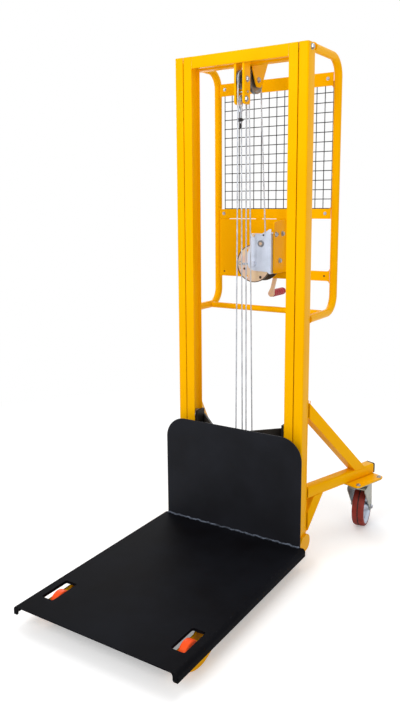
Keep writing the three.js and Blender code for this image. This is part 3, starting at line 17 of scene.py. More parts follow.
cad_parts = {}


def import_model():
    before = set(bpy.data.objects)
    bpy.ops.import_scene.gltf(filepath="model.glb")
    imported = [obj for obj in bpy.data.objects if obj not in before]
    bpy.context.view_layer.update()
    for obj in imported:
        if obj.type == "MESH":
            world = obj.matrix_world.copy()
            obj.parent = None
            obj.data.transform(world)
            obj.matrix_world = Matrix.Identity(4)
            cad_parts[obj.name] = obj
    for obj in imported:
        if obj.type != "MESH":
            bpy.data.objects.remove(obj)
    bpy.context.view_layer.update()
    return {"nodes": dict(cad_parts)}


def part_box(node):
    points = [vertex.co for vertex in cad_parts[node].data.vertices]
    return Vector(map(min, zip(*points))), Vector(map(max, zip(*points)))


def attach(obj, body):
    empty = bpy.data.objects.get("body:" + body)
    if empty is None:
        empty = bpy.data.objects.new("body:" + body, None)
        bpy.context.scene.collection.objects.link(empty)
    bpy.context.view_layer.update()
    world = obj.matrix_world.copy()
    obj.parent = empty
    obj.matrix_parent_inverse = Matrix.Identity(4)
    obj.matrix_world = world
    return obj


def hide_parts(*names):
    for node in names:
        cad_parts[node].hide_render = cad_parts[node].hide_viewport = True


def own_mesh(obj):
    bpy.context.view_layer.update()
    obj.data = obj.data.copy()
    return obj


Loop = list[tuple[float, float]]
Spot = tuple[float, float, float]
Path = list[Vector]
Colour = tuple[float, float, float]
Parts = list[tuple[Mesh, "Coat"]]
Spots = list[tuple[Vector, Vector, float]]
log = logging.getLogger("lift")

MM_PER_M = 1000
SOFT_EDGE = 0.6
SOFT_ANGLE = math.radians(28)
SMOOTH_ANGLE = math.radians(21)


class Axis(Enum):
    """Direction in which an outline is drawn out or about which a piece is turned."""

    X = "x"
    Y = "y"
    Z = "z"

    def lay(self, a: float, b: float, along: float) -> Vector:
        """Point with outline coordinates a and b at a distance along the axis.

        Args:
            a: First coordinate.
            b: Second coordinate.
            along: The distance.

        Returns:
            The point.
        """
        if self is Axis.X:
            return Vector((along, a, b))
        if self is Axis.Y:
            return Vector((a, along, b))
        return Vector((a, b, along))


class Grain(Enum):
    """Fine relief of a finish."""

    ORANGE_PEEL = "orange peel"
    POWDER = "powder"
    SPANGLE = "spangle"
    BRUSHED = "brushed"
    MOULDED = "moulded"
    RUBBER = "rubber"


# Node trees


class Value:
    """Node socket that Python's operators work on."""

    def __init__(self, tree: "Tree", socket: NodeSocket) -> None:
        """Keeps the socket and the tree that adds nodes."""
        self.tree = tree
        self.socket = socket

    def __add__(self, other: "Value | float") -> "Value":
        """Sum."""
        return self.tree.math("ADD", self, other)

    def __radd__(self, other: float) -> "Value":
        """Sum with a number first."""
        return self.tree.math("ADD", other, self)

    def __sub__(self, other: "Value | float") -> "Value":
        """Difference."""
        return self.tree.math("SUBTRACT", self, other)

    def __rsub__(self, other: float) -> "Value":
        """Difference from a number."""
        return self.tree.math("SUBTRACT", other, self)

    def __mul__(self, other: "Value | float") -> "Value":
        """Product."""
        return self.tree.math("MULTIPLY", self, other)

    def __rmul__(self, other: float) -> "Value":
        """Product with a number first."""
        return self.tree.math("MULTIPLY", other, self)

    def __truediv__(self, other: "Value | float") -> "Value":
        """Quotient."""
        return self.tree.math("DIVIDE", self, other)

    def ramp(self, low: float, high: float) -> "Value":
        """Share of the way from low to high, kept between 0 and 1."""
        spread = 1 / (high - low)
        return self.tree.math("MULTIPLY_ADD", self, spread, -low * spread, clamp=True)


class Tree:
    """Node tree that nodes are added to."""

    def __init__(self, tree: NodeTree) -> None:
        """Empties the tree."""
        self.tree = tree
        self.tree.nodes.clear()

    def node(self, kind: str, settings: dict | None = None, inputs: dict | None = None) -> Node:
        """Adds a node, sets it up and joins its inputs.

        Args:
            kind: The node's type.
            settings: Properties, which are set first.
            inputs: Sockets by name or number, each with a number, a colour, a Value or a socket.

        Returns:
            The node.
        """
        node = self.tree.nodes.new(kind)
        for key, setting in (settings or {}).items():
            setattr(node, key, setting)
        for key, entry in (inputs or {}).items():
            source = entry.socket if isinstance(entry, Value) else entry
            if isinstance(source, NodeSocket):
                self.tree.links.new(source, node.inputs[key])
            else:
                node.inputs[key].default_value = source
        return node

    def math(self, operation: str, *terms: Value | NodeSocket | float,
             clamp: bool = False) -> Value:
        """Adds one Math node.

        Args:
            operation: The Math node's operation.
            terms: Its inputs in order.
            clamp: Whether the result is kept between 0 and 1.

        Returns:
            The node's result.
        """
        settings = {"operation": operation, "use_clamp": clamp}
        return Value(self, self.node("ShaderNodeMath", settings, dict(enumerate(terms))).outputs[0])


# Finishes


class Painter(Tree):
    """Builds one material's node tree."""

    def __init__(self, name: str) -> None:
        """Starts an empty material of that name."""
        self.material = bpy.data.materials.new(name)
        self.material.use_nodes = True
        super().__init__(self.material.node_tree)
        self.place = self.node("ShaderNodeTexCoord").outputs["Object"]

    def noise(self, size_mm: float, detail: float = 3.0, stretch: Colour = (1, 1, 1),
              seed: float = 0.0) -> Value:
        """Noise of a given grain size.

        Args:
            size_mm: Size of the blots.
            detail: Octaves.
            stretch: How much the pattern is drawn out on each axis.
            seed: Shift of the pattern.

        Returns:
            A value about one half.
        """
        turned = self.node("ShaderNodeMapping", None, {
            "Vector": self.place, "Location": (seed, seed, seed), "Scale": tuple(1 / s for s in stretch)})
        pattern = self.node("ShaderNodeTexNoise", {"noise_dimensions": "3D"}, {
            "Vector": turned.outputs[0], "Scale": MM_PER_M / size_mm, "Detail": detail, "Roughness": 0.55})
        return Value(self, pattern.outputs["Fac"])

    def cells(self, size_mm: float) -> Value:
        """Flat cells of a given size, each with its own value.

        Args:
            size_mm: Size of a cell.

        Returns:
            A value from 0 to 1.
        """
        pattern = self.node("ShaderNodeTexVoronoi", {"feature": "F1"}, {
            "Vector": self.place, "Scale": MM_PER_M / size_mm})
        grey = self.node("ShaderNodeSeparateColor", None, {"Color": pattern.outputs["Color"]})
        return Value(self, grey.outputs[0])

    def edges(self, reach_mm: float) -> Value:
        """Mask that is 1 on the corners of a piece and 0 on its flats.

        Args:
            reach_mm: How far it reaches from a corner.

        Returns:
            The mask.
        """
        soft = self.node("ShaderNodeBevel", {"samples": 4}, {"Radius": reach_mm / MM_PER_M})
        true = self.node("ShaderNodeNewGeometry")
        dot = self.node("ShaderNodeVectorMath", {"operation": "DOT_PRODUCT"}, {
            0: soft.outputs["Normal"], 1: true.outputs["Normal"]})
        return (1 - Value(self, dot.outputs["Value"])).ramp(0.01, 0.12)

    def mix(self, share: Value, first: Colour | NodeSocket, second: Colour) -> NodeSocket:
        """Colour part of the way from the first to the second.

        Args:
            share: Part of the way.
            first: A colour or a colour socket.
            second: A colour.

        Returns:
            The mixed colour.
        """
        start = first if isinstance(first, NodeSocket) else (*first, 1.0)
        inputs = {"Factor": share, 6: start, 7: (*second, 1.0)}
        return self.node("ShaderNodeMix", {"data_type": "RGBA"}, inputs).outputs[2]


@dataclass(frozen=True)
class Finish:
    """Paint, plating or moulding of one kind of piece.

    The colour drifts in blots to a second one; on the black finishes that is a lighter blue, a painted
    sheen as well as a random tone. Grime lies in specks, and the rubbed colour shows on the corners:
    worn paint or plating, and on the chipped yellow also a painted highlight. Relief is the height of
    the grain and spread how much the roughness varies.
    """

    name: str
    slot: str
    colour: Colour
    drift: Colour
    roughness: float
    grain: Grain
    grain_mm: float
    relief: float
    spread: float = 0.08
    metallic: float = 0.0
    specular: float = 0.5
    tint: Colour = (1.0, 1.0, 1.0)
    flake: float = 0.35
    worn: Colour = (0.4, 0.38, 0.36)
    wear: float = 0.0
    grime: Colour = (0.05, 0.045, 0.04)
    dirt: float = 0.15
    blot_mm: float = 90.0
    speck_mm: float = 7.0
    patch_mm: float = 60.0
    chip_mm: float = 14.0
    corner_mm: float = 1.6

    def make(self) -> Material:
        """Builds the material.

        Returns:
            The finished material.
        """
        paint = Painter(self.name)
        # Blots of the second colour: a random tone, and on the black finishes also a painted bluish sheen.
        drift_and_sheen_blots = paint.noise(self.blot_mm, 4.0)
        colour = paint.mix(drift_and_sheen_blots.ramp(0.35, 0.7), self.colour, self.drift)
        patches = paint.noise(self.speck_mm, 6.0, seed=3.0).ramp(0.62, 0.8)
        specks = patches * paint.noise(self.patch_mm, 2.0, seed=5.0).ramp(0.45, 0.7)
        colour = paint.mix(specks * self.dirt, colour, self.grime)
        relief = self._relief(paint)
        rough = self.roughness + (drift_and_sheen_blots - 0.5) * self.spread + specks * 0.2
        metal: Value | float = self.metallic
        if self.grain is Grain.SPANGLE:
            flakes = paint.cells(self.grain_mm)
            colour = paint.mix(flakes * self.flake, colour, tuple(0.6 * part for part in self.colour))
            rough = rough + (flakes - 0.5) * (self.flake / 2)
        # Spots on the corners: real wear, and on the chipped yellow also a painted highlight in pale cream.
        if self.wear > 0:
            rubbed_and_highlit_spots = paint.edges(self.corner_mm) * paint.noise(self.chip_mm, 5.0, seed=9.0).ramp(
                0.62 - 0.3 * self.wear, 0.74)
            colour = paint.mix(rubbed_and_highlit_spots, colour, self.worn)
            rough = rough + rubbed_and_highlit_spots * 0.12
            metal = rubbed_and_highlit_spots * 0.6 + self.metallic
        bump = paint.node("ShaderNodeBump", None, {
            "Strength": self.relief, "Distance": 0.0006, "Height": relief})
        shader = paint.node("ShaderNodeBsdfPrincipled", None, {
            "Base Color": colour, "Roughness": rough, "Metallic": metal, "Normal": bump.outputs[0],
            "Specular IOR Level": self.specular, "Specular Tint": (*self.tint, 1.0)})
        paint.node("ShaderNodeOutputMaterial", None, {"Surface": shader.outputs[0]})
        return paint.material

    def _relief(self, paint: Painter) -> Value:
        """Height pattern of the grain.

        Args:
            paint: The material's builder.

        Returns:
            The height.
        """
        if self.grain is Grain.BRUSHED:
            return paint.noise(self.grain_mm, 3.0, stretch=(1, 1, 25))
        if self.grain is Grain.POWDER:
            return paint.noise(self.grain_mm, 6.0)
        if self.grain is Grain.MOULDED:
            return paint.noise(self.grain_mm, 4.0) + paint.noise(self.grain_mm * 8, 2.0)
        if self.grain is Grain.RUBBER:
            return paint.noise(self.grain_mm, 8.0)
        return paint.noise(self.grain_mm, 1.0) + 0.6 * paint.noise(self.grain_mm * 9, 1.0, seed=2.0)


class Coat(Enum):
    """The finishes of this lift."""

    YELLOW = Finish("yellow_gloss_paint", "yellow_paint", (0.96, 0.47, 0.0), (0.93, 0.43, 0.0), 0.3,
                    Grain.ORANGE_PEEL, 3.0, 0.1, specular=0.08, tint=(1.0, 0.72, 0.08),
                    worn=(0.55, 0.22, 0.02), wear=0.3, grime=(0.30, 0.12, 0.005), dirt=0.25, blot_mm=260.0)
    # Painted highlight and chips: pale cream spots on the corners stand for the highlights along the front
    # head beam's top edge, and also for some chipped paint.
    CHIPPED_AND_HIGHLIT = replace(YELLOW, name="yellow_paint_with_chips", worn=(0.98, 0.86, 0.55), wear=1.0, dirt=0.3,
                      blot_mm=120.0)
    # Painted sheen: the lighter blue second colour of both black finishes stands for a bluish sheen as well
    # as a random tone.
    SATIN = Finish("black_satin_plate", "black_paint", (0.0105, 0.0105, 0.0125), (0.0145, 0.0150, 0.0190),
                   0.5, Grain.POWDER, 1.6, 0.25, specular=0.1, tint=(0.75, 0.85, 1.0),
                   worn=(0.06, 0.06, 0.065), wear=0.35, grime=(0.03, 0.029, 0.028), dirt=0.3, blot_mm=150.0)
    BLACK = replace(SATIN, name="black_powder_coat", colour=(0.0032, 0.0029, 0.0035),
                    drift=(0.0060, 0.0064, 0.0085), roughness=0.6, grain_mm=1.4, relief=0.2, specular=0.03,
                    worn=(0.05, 0.05, 0.055), grime=(0.02, 0.019, 0.018), blot_mm=180.0)
    # Brown-black primer on the carriage bars and sheave fork, also used as painted shade in the bracket's
    # slots and in the winch panel's spare holes.
    BROWN = Finish("brown_black_primer", "black_paint", (0.011, 0.009, 0.007), (0.024, 0.019, 0.015), 0.55,
                   Grain.POWDER, 1.6, 0.3, specular=0.2, worn=(0.09, 0.07, 0.055), wear=0.4, blot_mm=60.0)
    WELD = Finish("weld_bead_steel", "black_paint", (0.15, 0.175, 0.23), (0.03, 0.034, 0.045), 0.42,
                  Grain.MOULDED, 2.0, 0.5, metallic=0.5, specular=0.4, blot_mm=18.0)
    ZINC = Finish("bright_zinc", "zinc", (0.57, 0.62, 0.73), (0.48, 0.53, 0.62), 0.42, Grain.SPANGLE, 2.2,
                  0.12, metallic=0.75, flake=0.16, worn=(0.75, 0.76, 0.78), wear=0.3, blot_mm=40.0)
    OLIVE_ZINC = Finish("yellowed_zinc", "zinc", (0.46, 0.46, 0.39), (0.33, 0.34, 0.31), 0.36, Grain.SPANGLE,
                        3.0, 0.15, metallic=0.85, flake=0.2, worn=(0.6, 0.6, 0.58), wear=0.35, blot_mm=30.0)
    GOLD = Finish("yellow_chromate", "gold_zinc", (0.68, 0.50, 0.30), (0.60, 0.40, 0.33), 0.36, Grain.SPANGLE,
                  1.4, 0.08, metallic=0.75, flake=0.1, worn=(0.7, 0.62, 0.5), wear=0.3, blot_mm=30.0)
    BRONZE = Finish("dark_chromate", "gold_zinc", (0.085, 0.055, 0.028), (0.05, 0.035, 0.022), 0.42,
                    Grain.BRUSHED, 1.4, 0.15, metallic=0.6, worn=(0.3, 0.22, 0.13), wear=0.4, blot_mm=18.0)
    NUT = Finish("zinc_fasteners", "zinc", (0.46, 0.49, 0.54), (0.30, 0.32, 0.36), 0.3, Grain.BRUSHED, 1.5,
                 0.15, metallic=0.85, blot_mm=7.0)
    STEEL = Finish("turned_steel", "roller_steel", (0.30, 0.31, 0.33), (0.17, 0.175, 0.185), 0.36,
                   Grain.BRUSHED, 1.2, 0.2, metallic=0.9, worn=(0.5, 0.5, 0.5), wear=0.5, blot_mm=24.0)
    WIRE = Finish("black_mesh_wire", "mesh_wire", (0.012, 0.012, 0.014), (0.02, 0.02, 0.022), 0.42,
                  Grain.POWDER, 1.2, 0.2, metallic=0.1, specular=0.3, blot_mm=40.0)
    ROPE = Finish("rope_wire", "rope_wire", (0.58, 0.62, 0.68), (0.36, 0.38, 0.42), 0.36, Grain.BRUSHED, 0.8,
                  0.15, metallic=0.45, blot_mm=30.0, dirt=0.3)
    RED = Finish("red_grip_plastic", "grip_red", (0.42, 0.014, 0.03), (0.34, 0.01, 0.024), 0.42,
                 Grain.MOULDED, 0.9, 0.2, specular=0.3, blot_mm=30.0)
    ORANGE = Finish("orange_roller_plastic", "roller_orange", (0.95, 0.095, 0.015), (0.86, 0.075, 0.012),
                    0.42, Grain.MOULDED, 1.1, 0.15, specular=0.25, tint=(1.0, 0.5, 0.3), blot_mm=30.0,
                    dirt=0.4)
    TREAD = Finish("brown_tread", "castor_tread", (0.31, 0.032, 0.02), (0.22, 0.024, 0.016), 0.5,
                   Grain.RUBBER, 1.0, 0.3, specular=0.3, blot_mm=22.0, dirt=0.5)
    STRIPE = Finish("dark_tread_seam", "castor_tread", (0.035, 0.018, 0.016), (0.05, 0.025, 0.02), 0.6,
                    Grain.RUBBER, 1.0, 0.3, specular=0.3, blot_mm=22.0)
    NYLON = Finish("black_nylon", "nylon", (0.010, 0.011, 0.012), (0.016, 0.017, 0.019), 0.5, Grain.MOULDED,
                   0.8, 0.25, specular=0.3, blot_mm=20.0)


def coated(coat: Coat, *meshes: Mesh) -> Parts:
    """Gives every mesh the same finish."""
    return [(mesh, coat) for mesh in meshes]


# Outlines, all in millimetres


def around(a: float, b: float, radius: float, *angles: float) -> Loop:
    """Points of a circle at given angles in degrees."""
    return [(a + radius * math.cos(turn), b + radius * math.sin(turn)) for turn in map(math.radians, angles)]


def arc(a: float, b: float, radius: float, start: float, end: float, steps: int = 6) -> Loop:
    """Points of an arc, angles in degrees."""
    return around(a, b, radius, *(start + (end - start) * step / steps for step in range(steps + 1)))


def rounded(a0: float, a1: float, b0: float, b1: float, radius: float, steps: int = 6) -> Loop:
    """Rectangle with round corners."""
    return [*arc(a1 - radius, b0 + radius, radius, -90, 0, steps),
            *arc(a1 - radius, b1 - radius, radius, 0, 90, steps),
            *arc(a0 + radius, b1 - radius, radius, 90, 180, steps),
            *arc(a0 + radius, b0 + radius, radius, 180, 270, steps)]


def circle(a: float, b: float, radius: float, sides: int = 28) -> Loop:
    """Circle as an outline."""
    return arc(a, b, radius, 0, 360, sides)[:sides]


def both_faces(face: Loop, groove: Loop | None = None) -> Loop:
    """Section of a wheel that is the same on both faces.

    Args:
        face: Radius and half width of each corner, from the bore to the rim.
        groove: Points between the two rims.

    Returns:
        The closed section.
    """
    return [*((radius, -half) for radius, half in face), *(groove or []), *reversed(face)]


def disc(bore: float, radius: float, half: float, chamfer: float = 1.0) -> Loop:
    """Section of a flat wheel with chamfered rims."""
    return both_faces([(bore, half), (radius - chamfer, half), (radius, half - chamfer)])


def bent(corners: list[Spot], radius: float, steps: int) -> Path:
    """Line through corners that are bent to a radius.

    Args:
        corners: Points of the run.
        radius: Bend radius of every inner corner.
        steps: Divisions of one bend.

    Returns:
        The points of the line.
    """
    points = [Vector(corner) for corner in corners]
    line = [points[0]]
    for before, corner, after in zip(points, points[1:], points[2:]):
        way_in = (corner - before).normalized()
        way_out = (after - corner).normalized()
        turn = way_in.angle(way_out)
        reach = radius * math.tan(turn / 2)
        side = (way_out - way_in * way_in.dot(way_out)).normalized()
        centre = corner - way_in * reach + side * radius
        for angle in (turn * step / steps for step in range(steps + 1)):
            line.append(centre - side * radius * math.cos(angle) + way_in * radius * math.sin(angle))
    return [*line, points[-1]]


def seam(start: Spot, end: Spot) -> Path:
    """Straight line for a weld."""
    return [Vector(start), Vector(end)]


def aimed(way: Spot, *places: Spot | Vector, share: float = 1.0) -> Spots:
    """Fastener spots that face one way, at a share of the full size."""
    return [(Vector(place), Vector(way), share) for place in places]


def both_ways(x: float, y: float, z: float) -> Spots:
    """Two fastener spots that face away from the lift's middle plane."""
    return [*aimed((-1, 0, 0), (-x, y, z)), *aimed((1, 0, 0), (x, y, z))]


# Meshes in millimetres


def flattened(obj: Object) -> Mesh:
    """Plain mesh of an object with everything on it evaluated, and the object taken away.

    Args:
        obj: A scratch object that isn't in the scene yet.

    Returns:
        Its mesh.
    """
    bpy.context.scene.collection.objects.link(obj)
    bpy.context.view_layer.update()
    graph = bpy.context.evaluated_depsgraph_get()
    mesh = bpy.data.meshes.new_from_object(obj.evaluated_get(graph))
    bpy.data.objects.remove(obj)
    return mesh


def plate(outline: Loop, axis: Axis, low: float, high: float, holes: tuple[Loop, ...] = (),
          edge: float = SOFT_EDGE) -> Mesh:
    """Plate or drawn-out section with softened edges.

    Args:
        outline: Its outer outline.
        axis: Direction of its thickness.
        low: Where it starts on the axis.
        high: Where it ends.
        holes: Outlines cut right through.
        edge: Radius of its edges.

    Returns:
        A closed mesh.
    """
    curve = bpy.data.curves.new("outline", "CURVE")
    curve.dimensions = "2D"
    curve.fill_mode = "BOTH"
    for loop in (outline, *holes):
        spline = curve.splines.new("POLY")
        spline.points.add(len(loop) - 1)
        for corner, (a, b) in zip(spline.points, loop):
            corner.co = (a, b, 0, 1)
        spline.use_cyclic_u = True
    curve.extrude = (high - low) / 2 - edge
    curve.bevel_depth = edge
    curve.bevel_resolution = 1
    curve.offset = -edge
    mesh = flattened(bpy.data.objects.new("outline", curve))
    bpy.data.curves.remove(curve)
    middle = (low + high) / 2
    for corner in mesh.vertices:
        corner.co = axis.lay(corner.co.x, corner.co.y, middle + corner.co.z)
    form = bmesh.new()
    form.from_mesh(mesh)
    bmesh.ops.remove_doubles(form, verts=form.verts, dist=0.002)
    bmesh.ops.recalc_face_normals(form, faces=form.faces)
    form.to_mesh(mesh)
    form.free()
    return mesh


def block(x0: float, x1: float, y0: float, y1: float, z0: float, z1: float,
          edge: float = SOFT_EDGE) -> Mesh:
    """Bar between two corners."""
    return plate([(x0, y0), (x1, y0), (x1, y1), (x0, y1)], Axis.Z, z0, z1, edge=edge)


def box_tube(y0: float, y1: float, z0: float, z1: float, half: float, wall: float = 2.5,
             corner: float = 3.0) -> Mesh:
    """Rectangular tube across the lift, open at both ends."""
    bore = rounded(y0 + wall, y1 - wall, z0 + wall, z1 - wall, corner - wall / 2)
    return plate(rounded(y0, y1, z0, z1, corner), Axis.X, -half, half, (bore,), 0.5)


def closed(form: bmesh.types.BMesh, name: str) -> Mesh:
    """Turns the faces outwards and ends the form as a mesh.

    Args:
        form: The form, which is freed.
        name: The mesh's name.

    Returns:
        The mesh.
    """
    bmesh.ops.recalc_face_normals(form, faces=form.faces)
    mesh = bpy.data.meshes.new(name)
    form.to_mesh(mesh)
    form.free()
    return mesh


def turned(profile: Loop, axis: Axis, centre: Spot = (0, 0, 0), sides: int = 48) -> Mesh:
    """Turned piece from a closed profile of radius and height.

    Args:
        profile: Corners of the section, the last joined to the first; a radius of zero is a pole.
        axis: The axis it is turned about.
        centre: A point of the axis at height zero.
        sides: Facets round it.

    Returns:
        A closed mesh.
    """
    form = bmesh.new()
    rings = []
    for radius, height in profile:
        count = sides if radius > 0 else 1
        turns = [2 * math.pi * side / sides for side in range(count)]
        spots = [axis.lay(radius * math.cos(turn), radius * math.sin(turn), height) for turn in turns]
        rings.append([form.verts.new(spot) for spot in spots])
    for one, other in zip(rings, rings[1:] + rings[:1]):
        for side in range(sides):
            after = (side + 1) % sides
            corners = [one[side % len(one)], one[after % len(one)], other[after % len(other)],
                       other[side % len(other)]]
            distinct = list(dict.fromkeys(corners))
            if len(distinct) > 2:
                form.faces.new(distinct)
    bmesh.ops.translate(form, vec=centre, verts=form.verts)
    return closed(form, "turned")


def rod(line: Path, radius: float, sides: int = 24) -> Mesh:
    """Round bar along a line, with softened ends.

    Args:
        line: Points of its middle line.
        radius: Its radius.
        sides: Facets round it.

    Returns:
        A closed mesh.
    """
    form = bmesh.new()
    ways = [(after - before).normalized() for before, after in zip(line, line[1:])]
    soft = radius * 0.12
    stations = [(line[0], ways[0], radius - soft), (line[0] + ways[0] * soft, ways[0], radius)]
    stations += [(spot, (a + b).normalized(), radius) for spot, a, b in zip(line[1:-1], ways, ways[1:])]
    stations += [(line[-1] - ways[-1] * soft, ways[-1], radius), (line[-1], ways[-1], radius - soft)]
    across = ways[0].orthogonal().normalized()
    rings = []
    for spot, way, size in stations:
        across = (across - way * across.dot(way)).normalized()
        up = way.cross(across)
        turns = [2 * math.pi * side / sides for side in range(sides)]
        rings.append([form.verts.new(spot + (across * math.cos(t) + up * math.sin(t)) * size) for t in turns])
    for one, other in zip(rings, rings[1:]):
        for side in range(sides):
            after = (side + 1) % sides
            form.faces.new((one[side], one[after], other[after], other[side]))
    form.faces.new(rings[0][::-1])
    form.faces.new(rings[-1])
    return closed(form, "rod")


def pin(axis: Axis, a: float, b: float, radius: float, low: float, high: float,
        sides: int = 24) -> Mesh:
    """Straight round pin along an axis."""
    return rod([axis.lay(a, b, low), axis.lay(a, b, high)], radius, sides)


def mirrored(mesh: Mesh) -> Mesh:
    """The left-hand twin of a right-hand mesh.

    Args:
        mesh: The right-hand mesh.

    Returns:
        A new mesh.
    """
    twin = mesh.copy()
    twin.transform(Matrix.Diagonal((-1, 1, 1, 1)))
    twin.flip_normals()
    return twin


def moved(move: Matrix, *meshes: Mesh) -> tuple[Mesh, ...]:
    """Moves every mesh by a matrix and returns them.

    Args:
        move: The matrix.
        meshes: The meshes, which are changed.

    Returns:
        The same meshes.
    """
    for mesh in meshes:
        mesh.transform(move)
    return meshes


# Geometry trees


class Plan(Tree):
    """Geometry tree with named inputs that runs once on a scratch object."""

    def __init__(self, name: str, **inputs: float | int) -> None:
        """Starts a tree.

        Args:
            name: The tree's name.
            inputs: Named sizes with their first values.
        """
        super().__init__(bpy.data.node_groups.new(name, "GeometryNodeTree"))
        sockets = self.tree.interface
        sockets.new_socket(name="Geometry", in_out="INPUT", socket_type="NodeSocketGeometry")
        sockets.new_socket(name="Geometry", in_out="OUTPUT", socket_type="NodeSocketGeometry")
        self.keys = {}
        for title, first in inputs.items():
            kind = "NodeSocketInt" if isinstance(first, int) else "NodeSocketFloat"
            socket = sockets.new_socket(name=title, in_out="INPUT", socket_type=kind)
            socket.default_value = first
            self.keys[title] = socket.identifier
        finish = sockets.new_socket(name="finish", in_out="INPUT", socket_type="NodeSocketMaterial")
        self.keys["finish"] = finish.identifier
        self.source = self.node("NodeGroupInput")

    def size(self, title: str) -> Value:
        """Named input of the tree."""
        return Value(self, self.source.outputs[title])

    def vector(self, x: Value | float, y: Value | float, z: Value | float) -> NodeSocket:
        """Vector from three parts."""
        return self.node("ShaderNodeCombineXYZ", None, {0: x, 1: y, 2: z}).outputs[0]

    def line(self) -> NodeSocket:
        """The base's line as a curve with evenly spaced points, the input called step apart.

        Returns:
            The curve.
        """
        curve = self.node("GeometryNodeMeshToCurve", None, {"Mesh": self.size("Geometry")})
        even = self.node("GeometryNodeResampleCurve", {"mode": "LENGTH"}, {
            "Curve": curve.outputs[0], "Length": self.size("step")})
        return even.outputs[0]

    def joined(self, *shapes: NodeSocket) -> NodeSocket:
        """Shapes in one geometry, the last given first.

        Args:
            shapes: The geometries.

        Returns:
            The whole.
        """
        together = self.node("GeometryNodeJoinGeometry")
        for shape in shapes:
            self.tree.links.new(shape, together.inputs[0])
        return together.outputs[0]

    def close(self, *shapes: NodeSocket) -> None:
        """Joins the shapes, makes instances real, gives them the finish and ends the tree.

        Args:
            shapes: The geometries.
        """
        real = self.node("GeometryNodeRealizeInstances", None, {0: self.joined(*reversed(shapes))})
        smooth = self.node("GeometryNodeSetShadeSmooth", None, {"Geometry": real.outputs[0]})
        dressed = self.node("GeometryNodeSetMaterial", None, {
            "Geometry": smooth.outputs[0], "Material": self.size("finish")})
        self.node("NodeGroupOutput", None, {0: dressed.outputs[0]})

    def run(self, base: Mesh, finish: Material, **sizes: float | int) -> Mesh:
        """Runs the tree on a mesh.

        Args:
            base: Points or lines that the tree works on.
            finish: Material of the result.
            sizes: Values of named inputs.

        Returns:
            A plain mesh.
        """
        obj = bpy.data.objects.new(self.tree.name, base)
        work = obj.modifiers.new(self.tree.name, "NODES")
        work.node_group = self.tree
        for title, size in sizes.items():
            work[self.keys[title]] = size
        work[self.keys["finish"]] = finish
        return flattened(obj)


def line_mesh(line: Path) -> Mesh:
    """Open line of edges through points.

    Args:
        line: The points.

    Returns:
        The mesh.
    """
    mesh = bpy.data.meshes.new("line")
    mesh.from_pydata([tuple(spot) for spot in line], [(i, i + 1) for i in range(len(line) - 1)], [])
    return mesh


def rope_plan() -> Plan:
    """Stranded rope: a six-lobed section that turns along the line.

    Returns:
        The tree.
    """
    plan = Plan("rope_lay", radius=2.5, lay=30.0, step=3.0)
    line = plan.line()
    along = Value(plan, plan.node("GeometryNodeSplineParameter").outputs["Length"])
    turn = along * (2 * math.pi) / plan.size("lay")
    tilted = plan.node("GeometryNodeSetCurveTilt", None, {"Curve": line, "Tilt": turn})
    ring = plan.node("GeometryNodeCurvePrimitiveCircle", None, {
        "Resolution": 24, "Radius": plan.size("radius")})
    index = Value(plan, plan.node("GeometryNodeInputIndex").outputs[0])
    wave = plan.math("COSINE", index * (math.pi / 2))
    spot = plan.node("GeometryNodeInputPosition").outputs[0]
    lobed = plan.node("ShaderNodeVectorMath", {"operation": "SCALE"}, {0: spot, "Scale": wave * 0.07 + 0.93})
    section = plan.node("GeometryNodeSetPosition", None, {
        "Geometry": ring.outputs[0], "Position": lobed.outputs[0]})
    strand = plan.node("GeometryNodeCurveToMesh", None, {
        "Curve": tilted.outputs[0], "Profile Curve": section.outputs[0], "Fill Caps": True})
    plan.close(strand.outputs[0])
    return plan


def bead_plan() -> Plan:
    """Weld bead: drops of varied size that overlap along a line.

    Returns:
        The tree.
    """
    plan = Plan("weld_bead", radius=3.0, step=2.6, seed=4)
    line = plan.line()
    drop = plan.node("GeometryNodeMeshIcoSphere", None, {"Radius": plan.size("radius"), "Subdivisions": 2})
    swell = plan.node("FunctionNodeRandomValue", {"data_type": "FLOAT"}, {
        2: 0.82, 3: 1.12, "Seed": plan.size("seed")})
    placed = plan.node("GeometryNodeInstanceOnPoints", None, {
        "Points": line, "Instance": drop.outputs[0], "Scale": swell.outputs[1]})
    plan.close(placed.outputs[0])
    return plan


def fastener_plan() -> Plan:
    """Heads with a washer on points that face along their own direction.

    Returns:
        The tree.
    """
    plan = Plan("fastener", radius=9.0, height=6.0, washer=11.0, stem=4.0, corners=6)
    head = plan.node("GeometryNodeMeshCone", None, {
        "Vertices": plan.size("corners"), "Radius Top": plan.size("radius") * 0.9,
        "Radius Bottom": plan.size("radius"), "Depth": plan.size("height")})
    washer = plan.node("GeometryNodeMeshCylinder", None, {
        "Vertices": 24, "Radius": plan.size("washer"), "Depth": 1.6})
    stem = plan.node("GeometryNodeMeshCylinder", None, {
        "Vertices": 14, "Radius": plan.size("stem"), "Depth": plan.size("height") * 2.7})
    lifted = plan.node("GeometryNodeTransform", None, {
        "Geometry": head.outputs[0], "Translation": plan.vector(0.0, 0.0, 0.8)})
    together = plan.joined(stem.outputs[0], washer.outputs[0], lifted.outputs[0])
    facing = plan.node("GeometryNodeInputNamedAttribute", {"data_type": "FLOAT_VECTOR"}, {"Name": "facing"})
    turn = plan.node("FunctionNodeAlignRotationToVector", {"axis": "Z"}, {"Vector": facing.outputs[0]})
    size = plan.node("GeometryNodeInputNamedAttribute", {"data_type": "FLOAT"}, {"Name": "size"})
    placed = plan.node("GeometryNodeInstanceOnPoints", None, {
        "Points": plan.size("Geometry"), "Instance": together, "Rotation": turn.outputs[0],
        "Scale": size.outputs[0]})
    plan.close(placed.outputs[0])
    return plan


